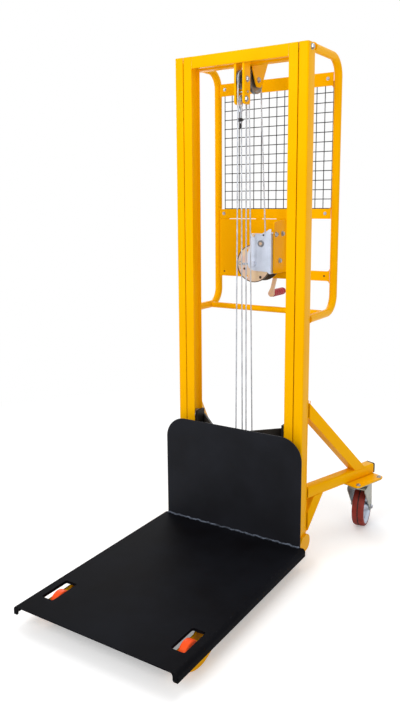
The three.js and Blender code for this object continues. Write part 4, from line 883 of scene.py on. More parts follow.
def wire_plan() -> Plan:
    """Square mesh of round wires, the upright ones behind the level ones.

    Returns:
        The tree.
    """
    plan = Plan("wire_mesh", across=32.0, up=32.0, wire=3.2, columns=13, rows=14, overhang=5.0)
    across, up, wire, over = (plan.size(title) for title in ("across", "up", "wire", "overhang"))
    wide = across * plan.size("columns")
    tall = up * plan.size("rows") + over * 2
    ring = plan.node("GeometryNodeCurvePrimitiveCircle", None, {"Resolution": 10, "Radius": wire * 0.5})
    parts = []
    for run, count, step, depth, drop in (
            (plan.vector(0.0, 0.0, tall), plan.size("columns"), plan.vector(across, 0.0, 0.0), 0.42, -1.0),
            (plan.vector(wide, 0.0, 0.0), plan.size("rows"), plan.vector(0.0, 0.0, up), -0.42, 0.0)):
        line = plan.node("GeometryNodeCurvePrimitiveLine", None, {"End": run})
        bar = plan.node("GeometryNodeCurveToMesh", None, {
            "Curve": line.outputs[0], "Profile Curve": ring.outputs[0], "Fill Caps": True})
        spots = plan.node("GeometryNodeMeshLine", None, {
            "Count": count + 1, "Offset": step,
            "Start Location": plan.vector(0.0, wire * depth, over * drop)})
        placed = plan.node("GeometryNodeInstanceOnPoints", None, {
            "Points": spots.outputs[0], "Instance": bar.outputs[0]})
        parts.append(placed.outputs[0])
    plan.close(*parts)
    return plan


# Sizes that the sub-assemblies share


@dataclass(frozen=True)
class Head:
    """Size of a bolt head, nut, screw or rivet."""

    radius: float
    height: float
    washer: float
    stem: float
    corners: int = 6


@dataclass(frozen=True)
class Sheave:
    """Grooved wheel about the x axis, placed by its middle; the pitch is its rope line's radius."""

    pitch: float
    x: float
    y: float
    z: float
    bore: float = 6.6
    hub: float = 12
    hub_half: float = 8
    web_half: float = 3.4
    shoulder_half: float = 5
    shoulder_run: float = 3
    rim_half: float = 6
    chamfer: float = 0.8
    lip: float = 3.5
    sink: float = 4.4
    groove: float = 3.9

    @property
    def front(self) -> Spot:
        """Where the rope line meets the sheave on the deck's side."""
        return (self.x, self.y - self.pitch, self.z)

    @property
    def back(self) -> Spot:
        """Where the rope line meets the sheave on the user's side."""
        return (self.x, self.y + self.pitch, self.z)

    def run(self, start: float, end: float, steps: int) -> Path:
        """Rope line round the sheave, angles in degrees from the back towards the top."""
        return [Vector((self.x, y, z)) for y, z in arc(self.y, self.z, self.pitch, start, end, steps)]

    def form(self) -> Parts:
        """Wheel with its hub, thin web and grooved rim.

        Returns:
            Its mesh with the finish.
        """
        root = self.pitch - self.sink
        rim = self.pitch + self.lip
        web = root - self.shoulder_run
        face = [(self.bore, self.hub_half), (self.hub, self.hub_half), (self.hub, self.web_half),
                (web, self.web_half), (root, self.shoulder_half), (rim - self.chamfer, self.rim_half),
                (rim, self.rim_half - 0.5)]
        groove = arc(root + self.groove, 0, self.groove, 255, 105, 10)
        wheel = turned(both_faces(face, groove), Axis.X, (self.x, self.y, self.z), 64)
        return coated(Coat.STEEL, wheel)


TOP_SHEAVE = Sheave(42.5, 0, 120.5, 1676)
EAR_SHEAVE = Sheave(28, 0, 29, 1667)
FOOT_SHEAVE = Sheave(25.5, 5, 82.5, 164)
CARRIAGE_SHEAVE = Sheave(25.5, -8, 26.5, 205)

# Places and sizes that more than one sub-assembly keeps to, in millimetres and degrees
MAST_OUTER = 255
MAST_DEPTH = 55
MAST_TOP = 1757
ARM_X = 239
ARM_SPLAY = 18
DRUM_Z = 1039
ROPE_RADIUS = 2.5
WIND_RADIUS = 47.5
ANCHOR_Y = 22
ANCHOR_Z = 1602
STRAND_OFFSET = 3
EYE_FOOT = 1480


# The workshop


class Workshop:
    """Turns meshes into pieces of the lift and keeps the finishes and trees."""

    def __init__(self, nodes: dict[str, Object]) -> None:
        """Finds the frame's place and makes the finishes and trees.

        Args:
            nodes: The CAD's objects by name.
        """
        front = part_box("outer_mast_left")[0].y
        self.to_frame = Matrix.Translation((0, front, 0)) @ Matrix.Scale(1 / MM_PER_M, 4)
        self.from_frame = self.to_frame.inverted()
        self.nodes = nodes
        self.coats = {coat: coat.value.make() for coat in Coat}
        self.rope = rope_plan()
        self.bead = bead_plan()
        self.fastener = fastener_plan()
        self.wire = wire_plan()

    def carried(self, node: str, edge: float = SOFT_EDGE) -> Mesh:
        """Copy of a CAD node's mesh in drawing millimetres, merged and with softened edges.

        Args:
            node: The CAD node.
            edge: Width of the softened edges.

        Returns:
            The mesh.
        """
        mesh = self.nodes[node].data.copy()
        mesh.materials.clear()
        mesh.transform(self.from_frame)
        form = bmesh.new()
        form.from_mesh(mesh)
        bmesh.ops.remove_doubles(form, verts=form.verts, dist=0.01)
        bmesh.ops.dissolve_limit(form, angle_limit=math.radians(1), verts=form.verts, edges=form.edges)
        form.to_mesh(mesh)
        form.free()
        obj = bpy.data.objects.new(node, mesh)
        soften = obj.modifiers.new("edge", "BEVEL")
        soften.width = edge
        soften.segments = 2
        soften.angle_limit = SOFT_ANGLE
        return flattened(obj)

    def deliver(self, name: str, parts: Parts, body: str, *stands_for: str) -> Object:
        """Joins meshes into one piece, places it on its body and hides the CAD nodes that it replaces.

        Args:
            name: The piece's name.
            parts: Meshes in drawing millimetres with their finishes.
            body: The body it rides on.
            stands_for: CAD nodes that it replaces.

        Returns:
            The piece.
        """
        form = bmesh.new()
        coats = list(dict.fromkeys(coat for _, coat in parts))
        for mesh, coat in parts:
            first = len(form.faces)
            form.from_mesh(mesh)
            form.faces.ensure_lookup_table()
            for face in form.faces[first:]:
                face.material_index = coats.index(coat)
                face.smooth = True
        form.transform(self.to_frame)
        mesh = bpy.data.meshes.new(name)
        form.to_mesh(mesh)
        form.free()
        for coat in coats:
            mesh.materials.append(self.coats[coat])
        mesh.set_sharp_from_angle(angle=SMOOTH_ANGLE)
        piece = bpy.data.objects.new(name, mesh)
        bpy.context.scene.collection.objects.link(piece)
        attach(piece, body)
        if stands_for:
            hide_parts(*stands_for)
        log.info("%s: %d faces on %s", name, len(mesh.polygons), body)
        return piece

    def deliver_pair(self, name: str, parts: Parts, body: str, node: str = "") -> None:
        """Delivers a right-hand piece and its twin.

        Args:
            name: Name without its side.
            parts: The right-hand meshes.
            body: The body, or with a * the start of each side's own body.
            node: CAD node's name without its side, if it is replaced.
        """
        twins = [(mirrored(mesh), coat) for mesh, coat in parts]
        for side, pieces in (("right", parts), ("left", twins)):
            stands_for = (f"{node}_{side}",) if node else ()
            self.deliver(f"{name}_{side}", pieces, body.replace("*", side), *stands_for)

    def fasteners(self, spots: Spots, head: Head) -> Mesh:
        """Bolt heads, nuts, screws or rivets.

        Args:
            spots: Place, direction and size share of each.
            head: Their size.

        Returns:
            The mesh.
        """
        base = bpy.data.meshes.new("spots")
        base.from_pydata([tuple(spot) for spot, _, _ in spots], [], [])
        base.attributes.new("facing", "FLOAT_VECTOR", "POINT")
        base.attributes.new("size", "FLOAT", "POINT")
        base.attributes["facing"].data.foreach_set("vector", [part for _, way, _ in spots for part in way])
        base.attributes["size"].data.foreach_set("value", [share for _, _, share in spots])
        return self.fastener.run(base, self.coats[Coat.NUT], **asdict(head))

    def weld(self, line: Path, radius: float, seed: int) -> Mesh:
        """Weld bead along a line."""
        return self.bead.run(line_mesh(line), self.coats[Coat.WELD], radius=radius, step=radius * 0.85,
                             seed=seed)

    def strand(self, line: Path, step: float = 3.0) -> Mesh:
        """Stranded rope along a line."""
        return self.rope.run(line_mesh(line), self.coats[Coat.ROPE], radius=ROPE_RADIUS, step=step)


# The hoist rope


@dataclass
class Ropes:
    """The hoist rope from the drum to its eye."""

    shop: Workshop
    first_turn: float = 124.8
    second_turn: float = 131.4
    pitch: float = 5.6
    turns: int = 10
    turn_steps: int = 36
    fall_run: float = 20
    clearance: float = 5.9
    tail_bend: float = 3
    tail_end: float = 191
    eye_radius: float = 12
    neck: float = 30
    tail_foot: float = 1507
    cuff_top: float = 1523
    clips: tuple[tuple[float, Coat], ...] = ((1566, Coat.NUT), (1534, Coat.NYLON))
    clip_half: float = 5.5
    bow: float = 1.8
    bow_half: float = 5.4

    def build(self) -> None:
        """Builds every length of the rope."""
        top = Vector(TOP_SHEAVE.back)
        rise = top.z - DRUM_Z
        tangent = math.sqrt(top.x ** 2 + rise ** 2 - WIND_RADIUS ** 2)
        lean = math.atan2(rise, top.x) - math.atan2(tangent, WIND_RADIUS)
        touch = self._on_drum(lean, self.first_turn)
        fall = (top - touch).normalized()
        self._winding(lean, touch, fall)
        clear = math.sqrt((WIND_RADIUS + self.clearance) ** 2 - WIND_RADIUS ** 2)
        self._length("winch_fall", [touch + fall * clear, *TOP_SHEAVE.run(0, 180, 40)], "chassis",
                     "rope_winch_fall")
        self._fall("outer_fall", TOP_SHEAVE.front, FOOT_SHEAVE.back, "chassis")
        self._length("inner_run", [*FOOT_SHEAVE.run(0, -180, 32), *EAR_SHEAVE.run(0, 180, 32)],
                     "inner_mast", "rope_inner_run")
        self._fall("front_fall", EAR_SHEAVE.front, CARRIAGE_SHEAVE.front, "inner_mast")
        self._length("carriage_turn", CARRIAGE_SHEAVE.run(-180, 0, 32), "carriage", "rope_carriage_turn")
        self._fall("dead_fall", (0, ANCHOR_Y + STRAND_OFFSET, EYE_FOOT), CARRIAGE_SHEAVE.back, "inner_mast")
        self._eye()

    def _on_drum(self, angle: float, along: float) -> Vector:
        """Point of the winding's line at an angle in radians and a place along the drum."""
        return Vector((WIND_RADIUS * math.cos(angle), along, DRUM_Z + WIND_RADIUS * math.sin(angle)))

    def _length(self, name: str, line: Path, body: str, node: str) -> None:
        """One length of rope that keeps its shape."""
        self.shop.deliver(name, coated(Coat.ROPE, self.shop.strand(line)), body, node)

    def _fall(self, name: str, upper: Spot, lower: Spot, body: str) -> None:
        """Straight length of rope between two points, with a mesh of its own.

        Args:
            name: The piece's name; its CAD node has the same with rope_ before it.
            upper: Its upper end.
            lower: Its lower end.
            body: The body that holds it.
        """
        strand = self.shop.strand([Vector(upper), Vector(lower)], 4.0)
        piece = self.shop.deliver(name, coated(Coat.ROPE, strand), body, f"rope_{name}")
        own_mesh(piece)

    def _winding(self, lean: float, touch: Vector, fall: Vector) -> None:
        """Rope on the drum, from the fall to the rear flange.

        Args:
            lean: Angle at which the fall leaves the winding.
            touch: Where the fall meets the winding.
            fall: The fall's direction.
        """
        line = [touch + fall * self.fall_run]
        for step in range(self.turns * self.turn_steps + 1):
            turn = step / self.turn_steps
            along = (self.first_turn + (self.second_turn - self.first_turn) * turn if turn < 1
                     else self.second_turn + (turn - 1) * self.pitch)
            line.append(self._on_drum(lean - turn * 2 * math.pi, along))
        last, bend = line[-1], self.tail_bend
        onward = (last - line[-2]).normalized()
        for turn in map(math.radians, (30, 60, 90)):
            line.append(last + Vector((0, bend * (1 - math.cos(turn)), 0)) + onward * bend * math.sin(turn))
        line.append(Vector((line[-1].x, self.tail_end, line[-1].z)))
        strand = coated(Coat.ROPE, self.shop.strand(line, 3.2))
        self.shop.deliver("drum_winding", strand, "drum", "rope_winding")

    def _eye(self) -> None:
        """Rope eye with its thimble and clips."""
        y, z, off = ANCHOR_Y, ANCHOR_Z, STRAND_OFFSET
        neck = z - self.neck
        loop = [Vector((0, a, b)) for a, b in arc(y, z, self.eye_radius, -20, 200, 28)]
        line = [Vector((0, y + off, EYE_FOOT)), Vector((0, y + off, neck)), *loop, Vector((0, y - off, neck)),
                Vector((0, y - off, self.tail_foot))]
        face = [(6.4, 3.4), (8.4, 3.4), (9.4, 1.6)]
        parts = [*coated(Coat.ROPE, self.shop.strand(line, 2.4)),
                 *coated(Coat.ZINC, turned(both_faces(face), Axis.X, (0, y, z), 40))]
        for level, coat in self.clips:
            saddle = rounded(-8, 8, y - 10, y - 1, 2.5)
            low, high = level - self.clip_half, level + self.clip_half
            parts += coated(coat, plate(saddle, Axis.Z, low, high, edge=0.8))
            for x in (-self.bow_half, self.bow_half):
                leg = bent([(x, y - 10, level), (x, y + 7.5, level), (0, y + 9.8, level)], 3.6, 6)
                parts += coated(coat, rod(leg, self.bow, 12))
        parts += coated(Coat.NYLON, pin(Axis.Z, 0, y - off, 3.1, self.tail_foot - 1, self.cuff_top, 16))
        self.shop.deliver("rope_thimble_and_clips", parts, "inner_mast", "rope_eye")


# Masts


@dataclass
class OuterMasts:
    """Outer channels with the guide blocks and bolts at their heads."""

    shop: Workshop
    width: float = 33
    wall: float = 3
    corner: float = 6
    nose: float = 2.3
    foot: float = 30
    lip_front: float = 4.6
    lip_back: float = 6.2
    lip_reach: float = 2.5
    lip_bite: float = 0.6
    guide_inner: float = 207
    guide_outer: float = 218
    guide_height: float = 28
    guide_play: float = 3.8
    guide_bore: float = 5.6
    bolt: float = 5
    bolt_head: Head = Head(8.6, 5.6, 10.5, 4.2)

    def build(self) -> None:
        """Builds the channels, the guide blocks and their bolts."""
        outer, depth, corner, nose = MAST_OUTER, MAST_DEPTH, self.corner, self.nose
        mouth = outer - self.width
        bend, inner = outer - corner, corner - self.wall
        section = [*arc(mouth + nose, nose, nose, 180, 270, 4), *arc(bend, corner, corner, -90, 0),
                   *arc(bend, depth - corner, corner, 0, 90),
                   *arc(mouth + nose, depth - nose, nose, 90, 180, 4), (mouth, depth - self.wall),
                   *arc(bend, depth - corner, inner, 90, 0), *arc(bend, corner, inner, 0, -90),
                   (mouth, self.wall)]
        channel = plate(section, Axis.Z, self.foot, MAST_TOP, edge=0.5)
        lip = block(mouth - self.lip_reach, mouth + self.lip_bite, self.lip_front, self.lip_back, self.foot,
                    MAST_TOP - 0.5, 0.2)
        self.shop.deliver_pair("mast_channel", coated(Coat.YELLOW, channel, lip), "chassis", "outer_mast")
        y, z = depth / 2, MAST_TOP - self.guide_height / 2
        outline = rounded(self.guide_play, depth - self.guide_play, MAST_TOP - self.guide_height, MAST_TOP, 2)
        guide = plate(outline, Axis.X, self.guide_inner, self.guide_outer, (circle(y, z, self.guide_bore),))
        self.shop.deliver_pair("top_guide_block", coated(Coat.NYLON, guide), "chassis", "guide_block")
        head = self.shop.fasteners(aimed((1, 0, 0), (outer, y, z)), self.bolt_head)
        shank = pin(Axis.X, y, z, self.bolt, self.guide_inner + 0.4, outer - 1)
        self.shop.deliver_pair("guide_bolt", coated(Coat.NUT, head, shank), "chassis")


@dataclass
class RearHeadBeam:
    """Beam between the outer channels, with the top sheave in its cheeks."""

    shop: Workshop
    half: float = 230.1
    front: float = 62.2
    depth: float = 36
    height: float = 38
    cheek_inner: float = 10
    cheek_wall: float = 4
    cap_back: float = 190
    cap_top: float = 1752
    spacer_inner: float = 222
    spacer_front: float = 55.3
    bead: float = 1.6
    pin_radius: float = 6
    pin_half: float = 19
    keeper: Head = Head(8.6, 4.6, 9.6, 3)

    def build(self) -> None:
        """Builds the beam, the sheave's pin and the sheave."""
        low, back = MAST_TOP - self.height, self.front + self.depth
        y, z, cap_top = TOP_SHEAVE.y, TOP_SHEAVE.z, self.cap_top
        seat, step = back - 1.25, low + 1.25
        cheek = [(y - 43.5, low - 0.3), (y - 40, z + 29), (y - 18, z - 15), (y - 9, z - 24), (y + 18, z - 24),
                 (y + 27, z - 15), (self.cap_back, cap_top - 14), (self.cap_back, cap_top), (seat, cap_top),
                 (seat, step), (y - 43.5, step)]
        meshes = [box_tube(self.front, back, low, MAST_TOP, self.half)]
        for inner in (self.cheek_inner, -self.cheek_inner - self.cheek_wall):
            meshes.append(plate(cheek, Axis.X, inner, inner + self.cheek_wall,
                                (circle(y, z, TOP_SHEAVE.bore),)))
        for side in (-1, 1):
            ends = sorted((side * self.spacer_inner, side * self.half))
            meshes.append(block(*ends, self.spacer_front, self.front + 1.2, low + 3, MAST_TOP - 3))
            start, end = side * self.spacer_inner, side * (self.spacer_inner + 8)
            line = seam((start, self.front - 0.4, low + 0.5), (end, self.front - 0.4, low + 0.5))
            meshes.append(self.shop.weld(line, self.bead, 3))
        reach = self.cheek_inner + self.cheek_wall
        meshes.append(block(-reach, reach, seat, self.cap_back, cap_top - self.cheek_wall, cap_top))
        self.shop.deliver("rear_head_beam", coated(Coat.YELLOW, *meshes), "chassis", "outer_head_beam")
        keepers = self.shop.fasteners(both_ways(reach + 0.2, y, z), self.keeper)
        shank = pin(Axis.X, y, z, self.pin_radius, -self.pin_half, self.pin_half)
        self.shop.deliver("top_sheave_pin", coated(Coat.NUT, shank, keepers), "chassis")
        self.shop.deliver("top_rope_sheave", TOP_SHEAVE.form(), "top_sheave", "top_sheave")


@dataclass
class InnerMast:
    """Inner rails with their rollers, head beam with its ears, and foot beam with its sheave."""

    shop: Workshop
    roller: float = 24.2
    roller_half: float = 12
    roller_x: float = 237
    roller_z: float = 120
    bore: float = 8.4
    half: float = 185.7
    depth: float = 20
    height: float = 40
    ear_inner: float = 12
    ear_wall: float = 8
    ear_front: float = 8
    ear_corner: float = 12
    ear_foot: float = 1585
    pin_radius: float = 6
    pin_half: float = 22
    keeper_z: float = 1626
    keeper_radius: float = 4
    keeper_half: float = 24
    bolt_head: Head = Head(8.8, 4.2, 10.4, 3.6)

    def build(self) -> None:
        """Builds the rails, rollers, beams and sheaves."""
        rail = self.shop.carried("inner_mast_right", 1.5)
        self.shop.deliver_pair("inner_rail", coated(Coat.YELLOW, rail), "inner_mast", "inner_mast")
        soft, half = 1.4, self.roller_half
        profile = [(self.bore, -half), (self.roller - soft, -half), (self.roller, -half + soft),
                   (self.roller, half - soft), (self.roller - soft, half), (14, half), (13, half - 1.5),
                   (self.bore, half - 1.5)]
        roller = turned(profile, Axis.X, (self.roller_x, MAST_DEPTH / 2, self.roller_z), 56)
        self.shop.deliver_pair("rail_roller", coated(Coat.STEEL, roller), "mast_roller_*", "mast_roller")
        self._head_beam()
        self.shop.deliver("ear_rope_sheave", EAR_SHEAVE.form(), "ear_sheave", "ear_sheave")
        foot = self.shop.carried("inner_foot_beam", 0.4)
        self.shop.deliver("foot_beam", coated(Coat.YELLOW, foot), "inner_mast", "inner_foot_beam")
        self.shop.deliver("foot_rope_sheave", FOOT_SHEAVE.form(), "foot_sheave", "foot_sheave")

    def _head_beam(self) -> None:
        """Front head beam with the ears and their bolts."""
        low, corner = MAST_TOP - self.height, self.ear_corner
        inner, outer = self.ear_inner, self.ear_inner + self.ear_wall
        holes = ((EAR_SHEAVE.y, EAR_SHEAVE.z), (ANCHOR_Y, ANCHOR_Z))
        back, step, front = 38, low + 1.25, self.ear_front
        seat, middle = self.depth - 1.25, self.ear_foot + corner
        ear = [(front, step), (seat, step), (seat, MAST_TOP - 7), (back, MAST_TOP - 7),
               *arc(back, MAST_TOP - 7 - corner, corner, 90, 0), *arc(back, middle, corner, 0, -90),
               *arc(front + corner, middle, corner, -90, -180)]
        cuts = tuple(circle(y, z, self.pin_radius + 0.3) for y, z in holes)
        # Painted highlight: the beam's corners carry pale cream spots for its highlights, and also some
        # chipped paint.
        parts = coated(Coat.CHIPPED_AND_HIGHLIT, box_tube(0, self.depth, low, MAST_TOP, self.half))
        for start in (inner, -outer):
            parts += coated(Coat.YELLOW, plate(ear, Axis.X, start, start + self.ear_wall, cuts))
        for side in (-1, 1):
            for x in (side * (inner - 0.8), side * (outer + 0.8)):
                line = seam((x, front + 0.5, low - 0.4), (x, seat - 1.25, low - 0.4))
                parts += coated(Coat.YELLOW, self.shop.weld(line, 1.5, 5))
        self.shop.deliver("front_head_beam", parts, "inner_mast", "inner_head_beam")
        spots = [spot for y, z in holes for spot in both_ways(outer + 0.2, y, z)]
        pins = [pin(Axis.X, y, z, self.pin_radius, -self.pin_half, self.pin_half) for y, z in holes]
        keeper = pin(Axis.X, EAR_SHEAVE.y, self.keeper_z, self.keeper_radius, -self.keeper_half,
                     self.keeper_half)
        meshes = [self.shop.fasteners(spots, self.bolt_head), *pins, keeper]
        self.shop.deliver("ear_bolts", coated(Coat.NUT, *meshes), "inner_mast")


# Carriage and base


@dataclass
class Carriage:
    """Deck, backrest, side bars with gussets, rollers and the sheave fork."""

    shop: Workshop
    half: float = 297.5
    top: float = 76
    thickness: float = 4
    front: float = -828
    back: float = -47
    flange: float = 27
    bend: float = 12
    hem_inside: float = 281
    hem_bend: float = 9
    hem_foot: float = 6
    hem_nose: float = 7
    window_inner: float = 218
    window_outer: float = 263
    window_front: float = -746
    window_back: float = -637
    window_corner: float = 5
    rim: float = 3
    rim_depth: float = 10
    rest_half: float = 278.6
    rest_top: float = 465
    rest_corner: float = 80
    rest_wall: float = 5
    bead: float = 3.7
    bead_step: float = 6
    roller: float = 23.7
    roller_half: float = 5.5
    roller_x: float = 192.5
    lower_roller: float = 140
    upper_roller: float = 462
    bore: float = 8.4

    def build(self) -> None:
        """Builds every piece of the carriage."""
        self._deck()
        self._backrest()
        bar = self.shop.carried("carriage_side_right", 0.8)
        self.shop.deliver_pair("carriage_bar", coated(Coat.BROWN, bar), "carriage", "carriage_side")
        for level, z in (("lower", self.lower_roller), ("upper", self.upper_roller)):
            wheel = turned(disc(self.bore, self.roller, self.roller_half), Axis.X,
                           (self.roller_x, MAST_DEPTH / 2, z), 56)
            self.shop.deliver_pair(f"carriage_wheel_{level}", coated(Coat.STEEL, wheel),
                                   f"carriage_roller_{level}_*", f"carriage_roller_{level}")
        fork = self.shop.carried("carriage_sheave_fork", 0.5)
        self.shop.deliver("sheave_fork", coated(Coat.BROWN, fork), "carriage", "carriage_sheave_fork")
        self.shop.deliver("carriage_rope_sheave", CARRIAGE_SHEAVE.form(), "carriage_sheave",
                          "carriage_sheave")

    def _window(self, sign: int, border: float = 0) -> Loop:
        """Outline of a window in the deck, right or left by its sign, grown by a border."""
        x0, x1 = sorted((sign * self.window_inner, sign * self.window_outer))
        return rounded(x0 - border, x1 + border, self.window_front - border, self.window_back + border,
                       self.window_corner + border)

    def _deck(self) -> None:
        """Folded deck with its two windows and closed front corners."""
        half, top, bend, low = self.half, self.top, self.bend, self.top - self.flange
        sheet = plate([(-half + bend, self.front), (half - bend, self.front), (half - bend, self.back),
                       (-half + bend, self.back)], Axis.Z, top - self.thickness, top,
                      (self._window(1), self._window(-1)), 0.9)
        fold = [(half - bend, top), *arc(half - bend, top - bend, bend, 90, 0, 10), (half, low),
                (half - self.thickness, low),
                *arc(half - bend, top - bend, bend - self.thickness, 0, 90, 10)]
        side = plate(fold, Axis.Y, self.front, self.back, edge=0.3)
        inside, curl, foot, nose = self.hem_inside, self.hem_bend, self.hem_foot, self.hem_nose
        hem = [(inside - curl - 2, top - 3), *arc(inside - curl, top - 3 - curl, curl, 90, 0, 6),
               (inside, low + foot + 3), *arc(inside + foot, low + foot, foot, 180, 270, 5),
               *arc(half - nose, low + nose, nose, -90, 0, 5), (half, top - bend),
               *arc(half - bend, top - bend, bend, 0, 90, 8)]
        cap = plate(hem, Axis.Y, self.front - 0.4, self.front + self.thickness, edge=0.9)
        rims = [plate(self._window(sign, self.rim), Axis.Z, top - self.rim_depth, top - 1.4,
                      (self._window(sign),)) for sign in (-1, 1)]
        # The black finish's lighter blue blots paint a sheen on the deck as well as a random tone.
        parts = coated(Coat.BLACK, sheet, side, mirrored(side), cap, mirrored(cap), *rims)
        self.shop.deliver("loading_deck", parts, "carriage", "load_deck")

    def _backrest(self) -> None:
        """Backrest with its wavy weld bead on the deck."""
        half, top, corner, foot = self.rest_half, self.rest_top, self.rest_corner, self.top + 0.3
        outline = [(-half, foot), (half, foot), *arc(half - corner, top - corner, corner, 0, 90, 20),
                   *arc(-half + corner, top - corner, corner, 90, 180, 20)]
        front = self.back - self.rest_wall
        steps = int((2 * half - 4) / self.bead_step)
        wave = [Vector((-half + 2 + step * self.bead_step,
                        front - 1.8 + 1.5 * math.sin(step * 1.7) + 1.3 * math.sin(step * 0.61),
                        self.top + 2.1 + 1.2 * math.sin(step * 0.9))) for step in range(steps + 1)]
        # The satin finish's lighter blue blots paint a sheen on the backrest as well as a random tone.
        parts = [*coated(Coat.SATIN, plate(outline, Axis.Y, front, self.back, edge=1.0)),
                 *coated(Coat.WELD, self.shop.weld(wave, self.bead, 11))]
        self.shop.deliver("back_rest", parts, "carriage", "backrest")


@dataclass
class Base:
    """Legs of plate round the channels, cross tube and load rollers."""

    shop: Workshop
    wall: float = 8
    gap: float = 0.3
    channel: float = 33
    outer_lobe: float = 38
    inner_lobe: float = 25
    lobe: float = 30
    lobe_z: float = 55
    tip: float = -752
    tip_top: float = 48
    sole: float = 22
    rail_top: float = 60
    bow: float = 110
    bow_y: float = -685
    bow_z: float = 112
    cover_back: float = -612
    cover_front: float = -750
    cover_top: float = 46
    cover_foot: float = 30
    cover_inner: float = 263.0
    cover_outer: float = 273.4
    ramp_front: float = -630
    ramp_back: float = -606
    ties: tuple[float, float] = (-640, -738)
    tie_half: float = 3
    tie_low: float = 18
    tie_high: float = 42
    roller_y: float = -692
    roller_x: float = 238.5
    roller: float = 37
    roller_half: float = 14
    roller_bush: float = 12
    bore: float = 8.4
    axle: float = 8

    def build(self) -> None:
        """Builds every piece of the base."""
        outer, inner = MAST_OUTER + self.gap, MAST_OUTER - self.channel - self.gap
        meshes = [plate(self._side(self.outer_lobe), Axis.X, outer, outer + self.wall, edge=0.9),
                  plate(self._side(self.inner_lobe), Axis.X, inner - self.wall, inner, edge=0.9)]
        for y in self.ties:
            half = self.tie_half
            meshes.append(block(inner - 4, outer + 4, y - half, y + half, self.tie_low, self.tie_high))
            for x in (inner + 0.9, outer - 0.9):
                line = seam((x, y + half + 0.2, self.tie_low + 2), (x, y + half + 0.2, self.tie_high - 2))
                meshes.append(self.shop.weld(line, 1.7, 6))
        reach = math.degrees(math.acos((self.bow_z - self.cover_foot) / self.bow))
        cover = [*arc(self.bow_y + 4, self.bow_z, self.bow, -90 - reach, -90 + reach, 24),
                 (self.cover_back, self.cover_top), (self.cover_front, self.cover_top)]
        meshes.append(plate(cover, Axis.X, self.cover_inner, self.cover_outer, edge=1.6))
        axle = pin(Axis.X, self.roller_y, self.roller, self.axle, inner - self.wall - 2,
                   self.cover_outer + 1.2)
        parts = [*coated(Coat.YELLOW, *meshes), (axle, Coat.NUT)]
        self.shop.deliver_pair("leg", parts, "chassis", "base_leg")
        tube = self.shop.carried("base_cross_tube", 0.5)
        self.shop.deliver("cross_tube", coated(Coat.YELLOW, tube), "chassis", "base_cross_tube")
        r, w, bush = self.roller, self.roller_half, self.roller_bush
        face = [(bush, w), (r - 8, w), (r - 3, w - 1.2), (r - 0.6, w - 3.4), (r, w - 6)]
        sleeve = [(self.bore, w + 0.2), (bush, w + 0.2)]
        at = (self.roller_x, self.roller_y, r)
        self.shop.deliver_pair("front_roller", [(turned(both_faces(face), Axis.X, at, 72), Coat.ORANGE),
                                                (turned(both_faces(sleeve), Axis.X, at, 32), Coat.STEEL)],
                               "load_roller_*", "load_roller")

    def _side(self, lobe_y: float) -> Loop:
        """Outline of one leg plate in y and z, its rear lobe about a given y.

        Args:
            lobe_y: Where the lobe's middle is.

        Returns:
            The outline.
        """
        drop = self.sole - self.bow_z
        nose = math.sqrt(self.bow ** 2 - drop ** 2)
        start, end = (math.degrees(math.atan2(drop, reach)) for reach in (-nose, nose))
        return [(self.tip, self.tip_top), (self.tip, self.sole),
                *arc(self.bow_y, self.bow_z, self.bow, start, end, 20),
                *arc(lobe_y, self.lobe_z, self.lobe, -90, 90, 20),
                (lobe_y - self.lobe, self.lobe_z + self.lobe), (lobe_y - 2 * self.lobe, self.rail_top),
                (self.ramp_back, self.rail_top), (self.ramp_front, self.tip_top)]


# Outriggers and castors


def arm_frame() -> Matrix:
    """Carries the right arm's own frame to the mast."""
    return Matrix.Translation((ARM_X, MAST_DEPTH, 0)) @ Matrix.Rotation(math.radians(-ARM_SPLAY), 4, "Z")


@dataclass
class Outriggers:
    """Arms with braces, knees and foot plates, their plugs and bolts."""

    shop: Workshop
    low: float = 214
    height: float = 40
    half: float = 20
    length: float = 380
    plug_inset: float = 3.3
    plug_wall: float = 9
    plug_depth: float = 14
    root_inner: float = 221.5
    root_outer: float = 254.3
    root_front: float = 54.4
    root_back: float = 57
    root_spans: tuple[tuple[float, float], ...] = ((86, 208), (214.5, 253.5), (516, 576))
    bolt_x: tuple[float, float] = (-30, 58)
    bolt_y: tuple[float, float] = (240, 364)
    bolt_head: Head = Head(7.5, 4.6, 9.5, 3.2)

    def build(self) -> None:
        """Builds the arms with welds, plugs and bolts."""
        meshes = [self.shop.carried("outrigger_right", 0.7)]
        high = self.low + self.height
        for z in (self.low - 1.4, high + 1.4):
            line = seam((ARM_X - self.half, MAST_DEPTH + 1.4, z), (ARM_X + self.half, MAST_DEPTH + 1.4, z))
            meshes.append(self.shop.weld(line, 1.8, 7))
        for side in (-1, 1):
            x = (arm_frame() @ Vector((side * (self.half + 1), 0, 0))).x
            meshes.append(self.shop.weld(seam((x, self.root_back, 518), (x, self.root_back, 574)), 1.6, 8))
        meshes += [block(self.root_inner, self.root_outer, self.root_front, self.root_back, *span, 0.3)
                   for span in self.root_spans]
        self.shop.deliver_pair("rear_arm", coated(Coat.YELLOW, *meshes), "chassis", "outrigger")
        half, inset, end = self.half, self.plug_inset, self.length
        cap = plate(rounded(-half, half, self.low + 0.6, high, 6), Axis.Y, end + 0.3, end + self.plug_wall,
                    edge=1.6)
        shank = plate(rounded(-half + inset, half - inset, self.low + inset, high - inset, 4.5), Axis.Y,
                      end - self.plug_depth, end + 0.6)
        self.shop.deliver_pair("arm_plug", coated(Coat.NYLON, *moved(arm_frame(), cap, shank)), "chassis",
                               "outrigger_plug")
        places = [arm_frame() @ Vector((x, y, self.low)) for x in self.bolt_x for y in self.bolt_y]
        heads = self.shop.fasteners(aimed((0, 0, 1), *places), self.bolt_head)
        self.shop.deliver_pair("foot_plate_bolt", coated(Coat.NUT, heads), "chassis")


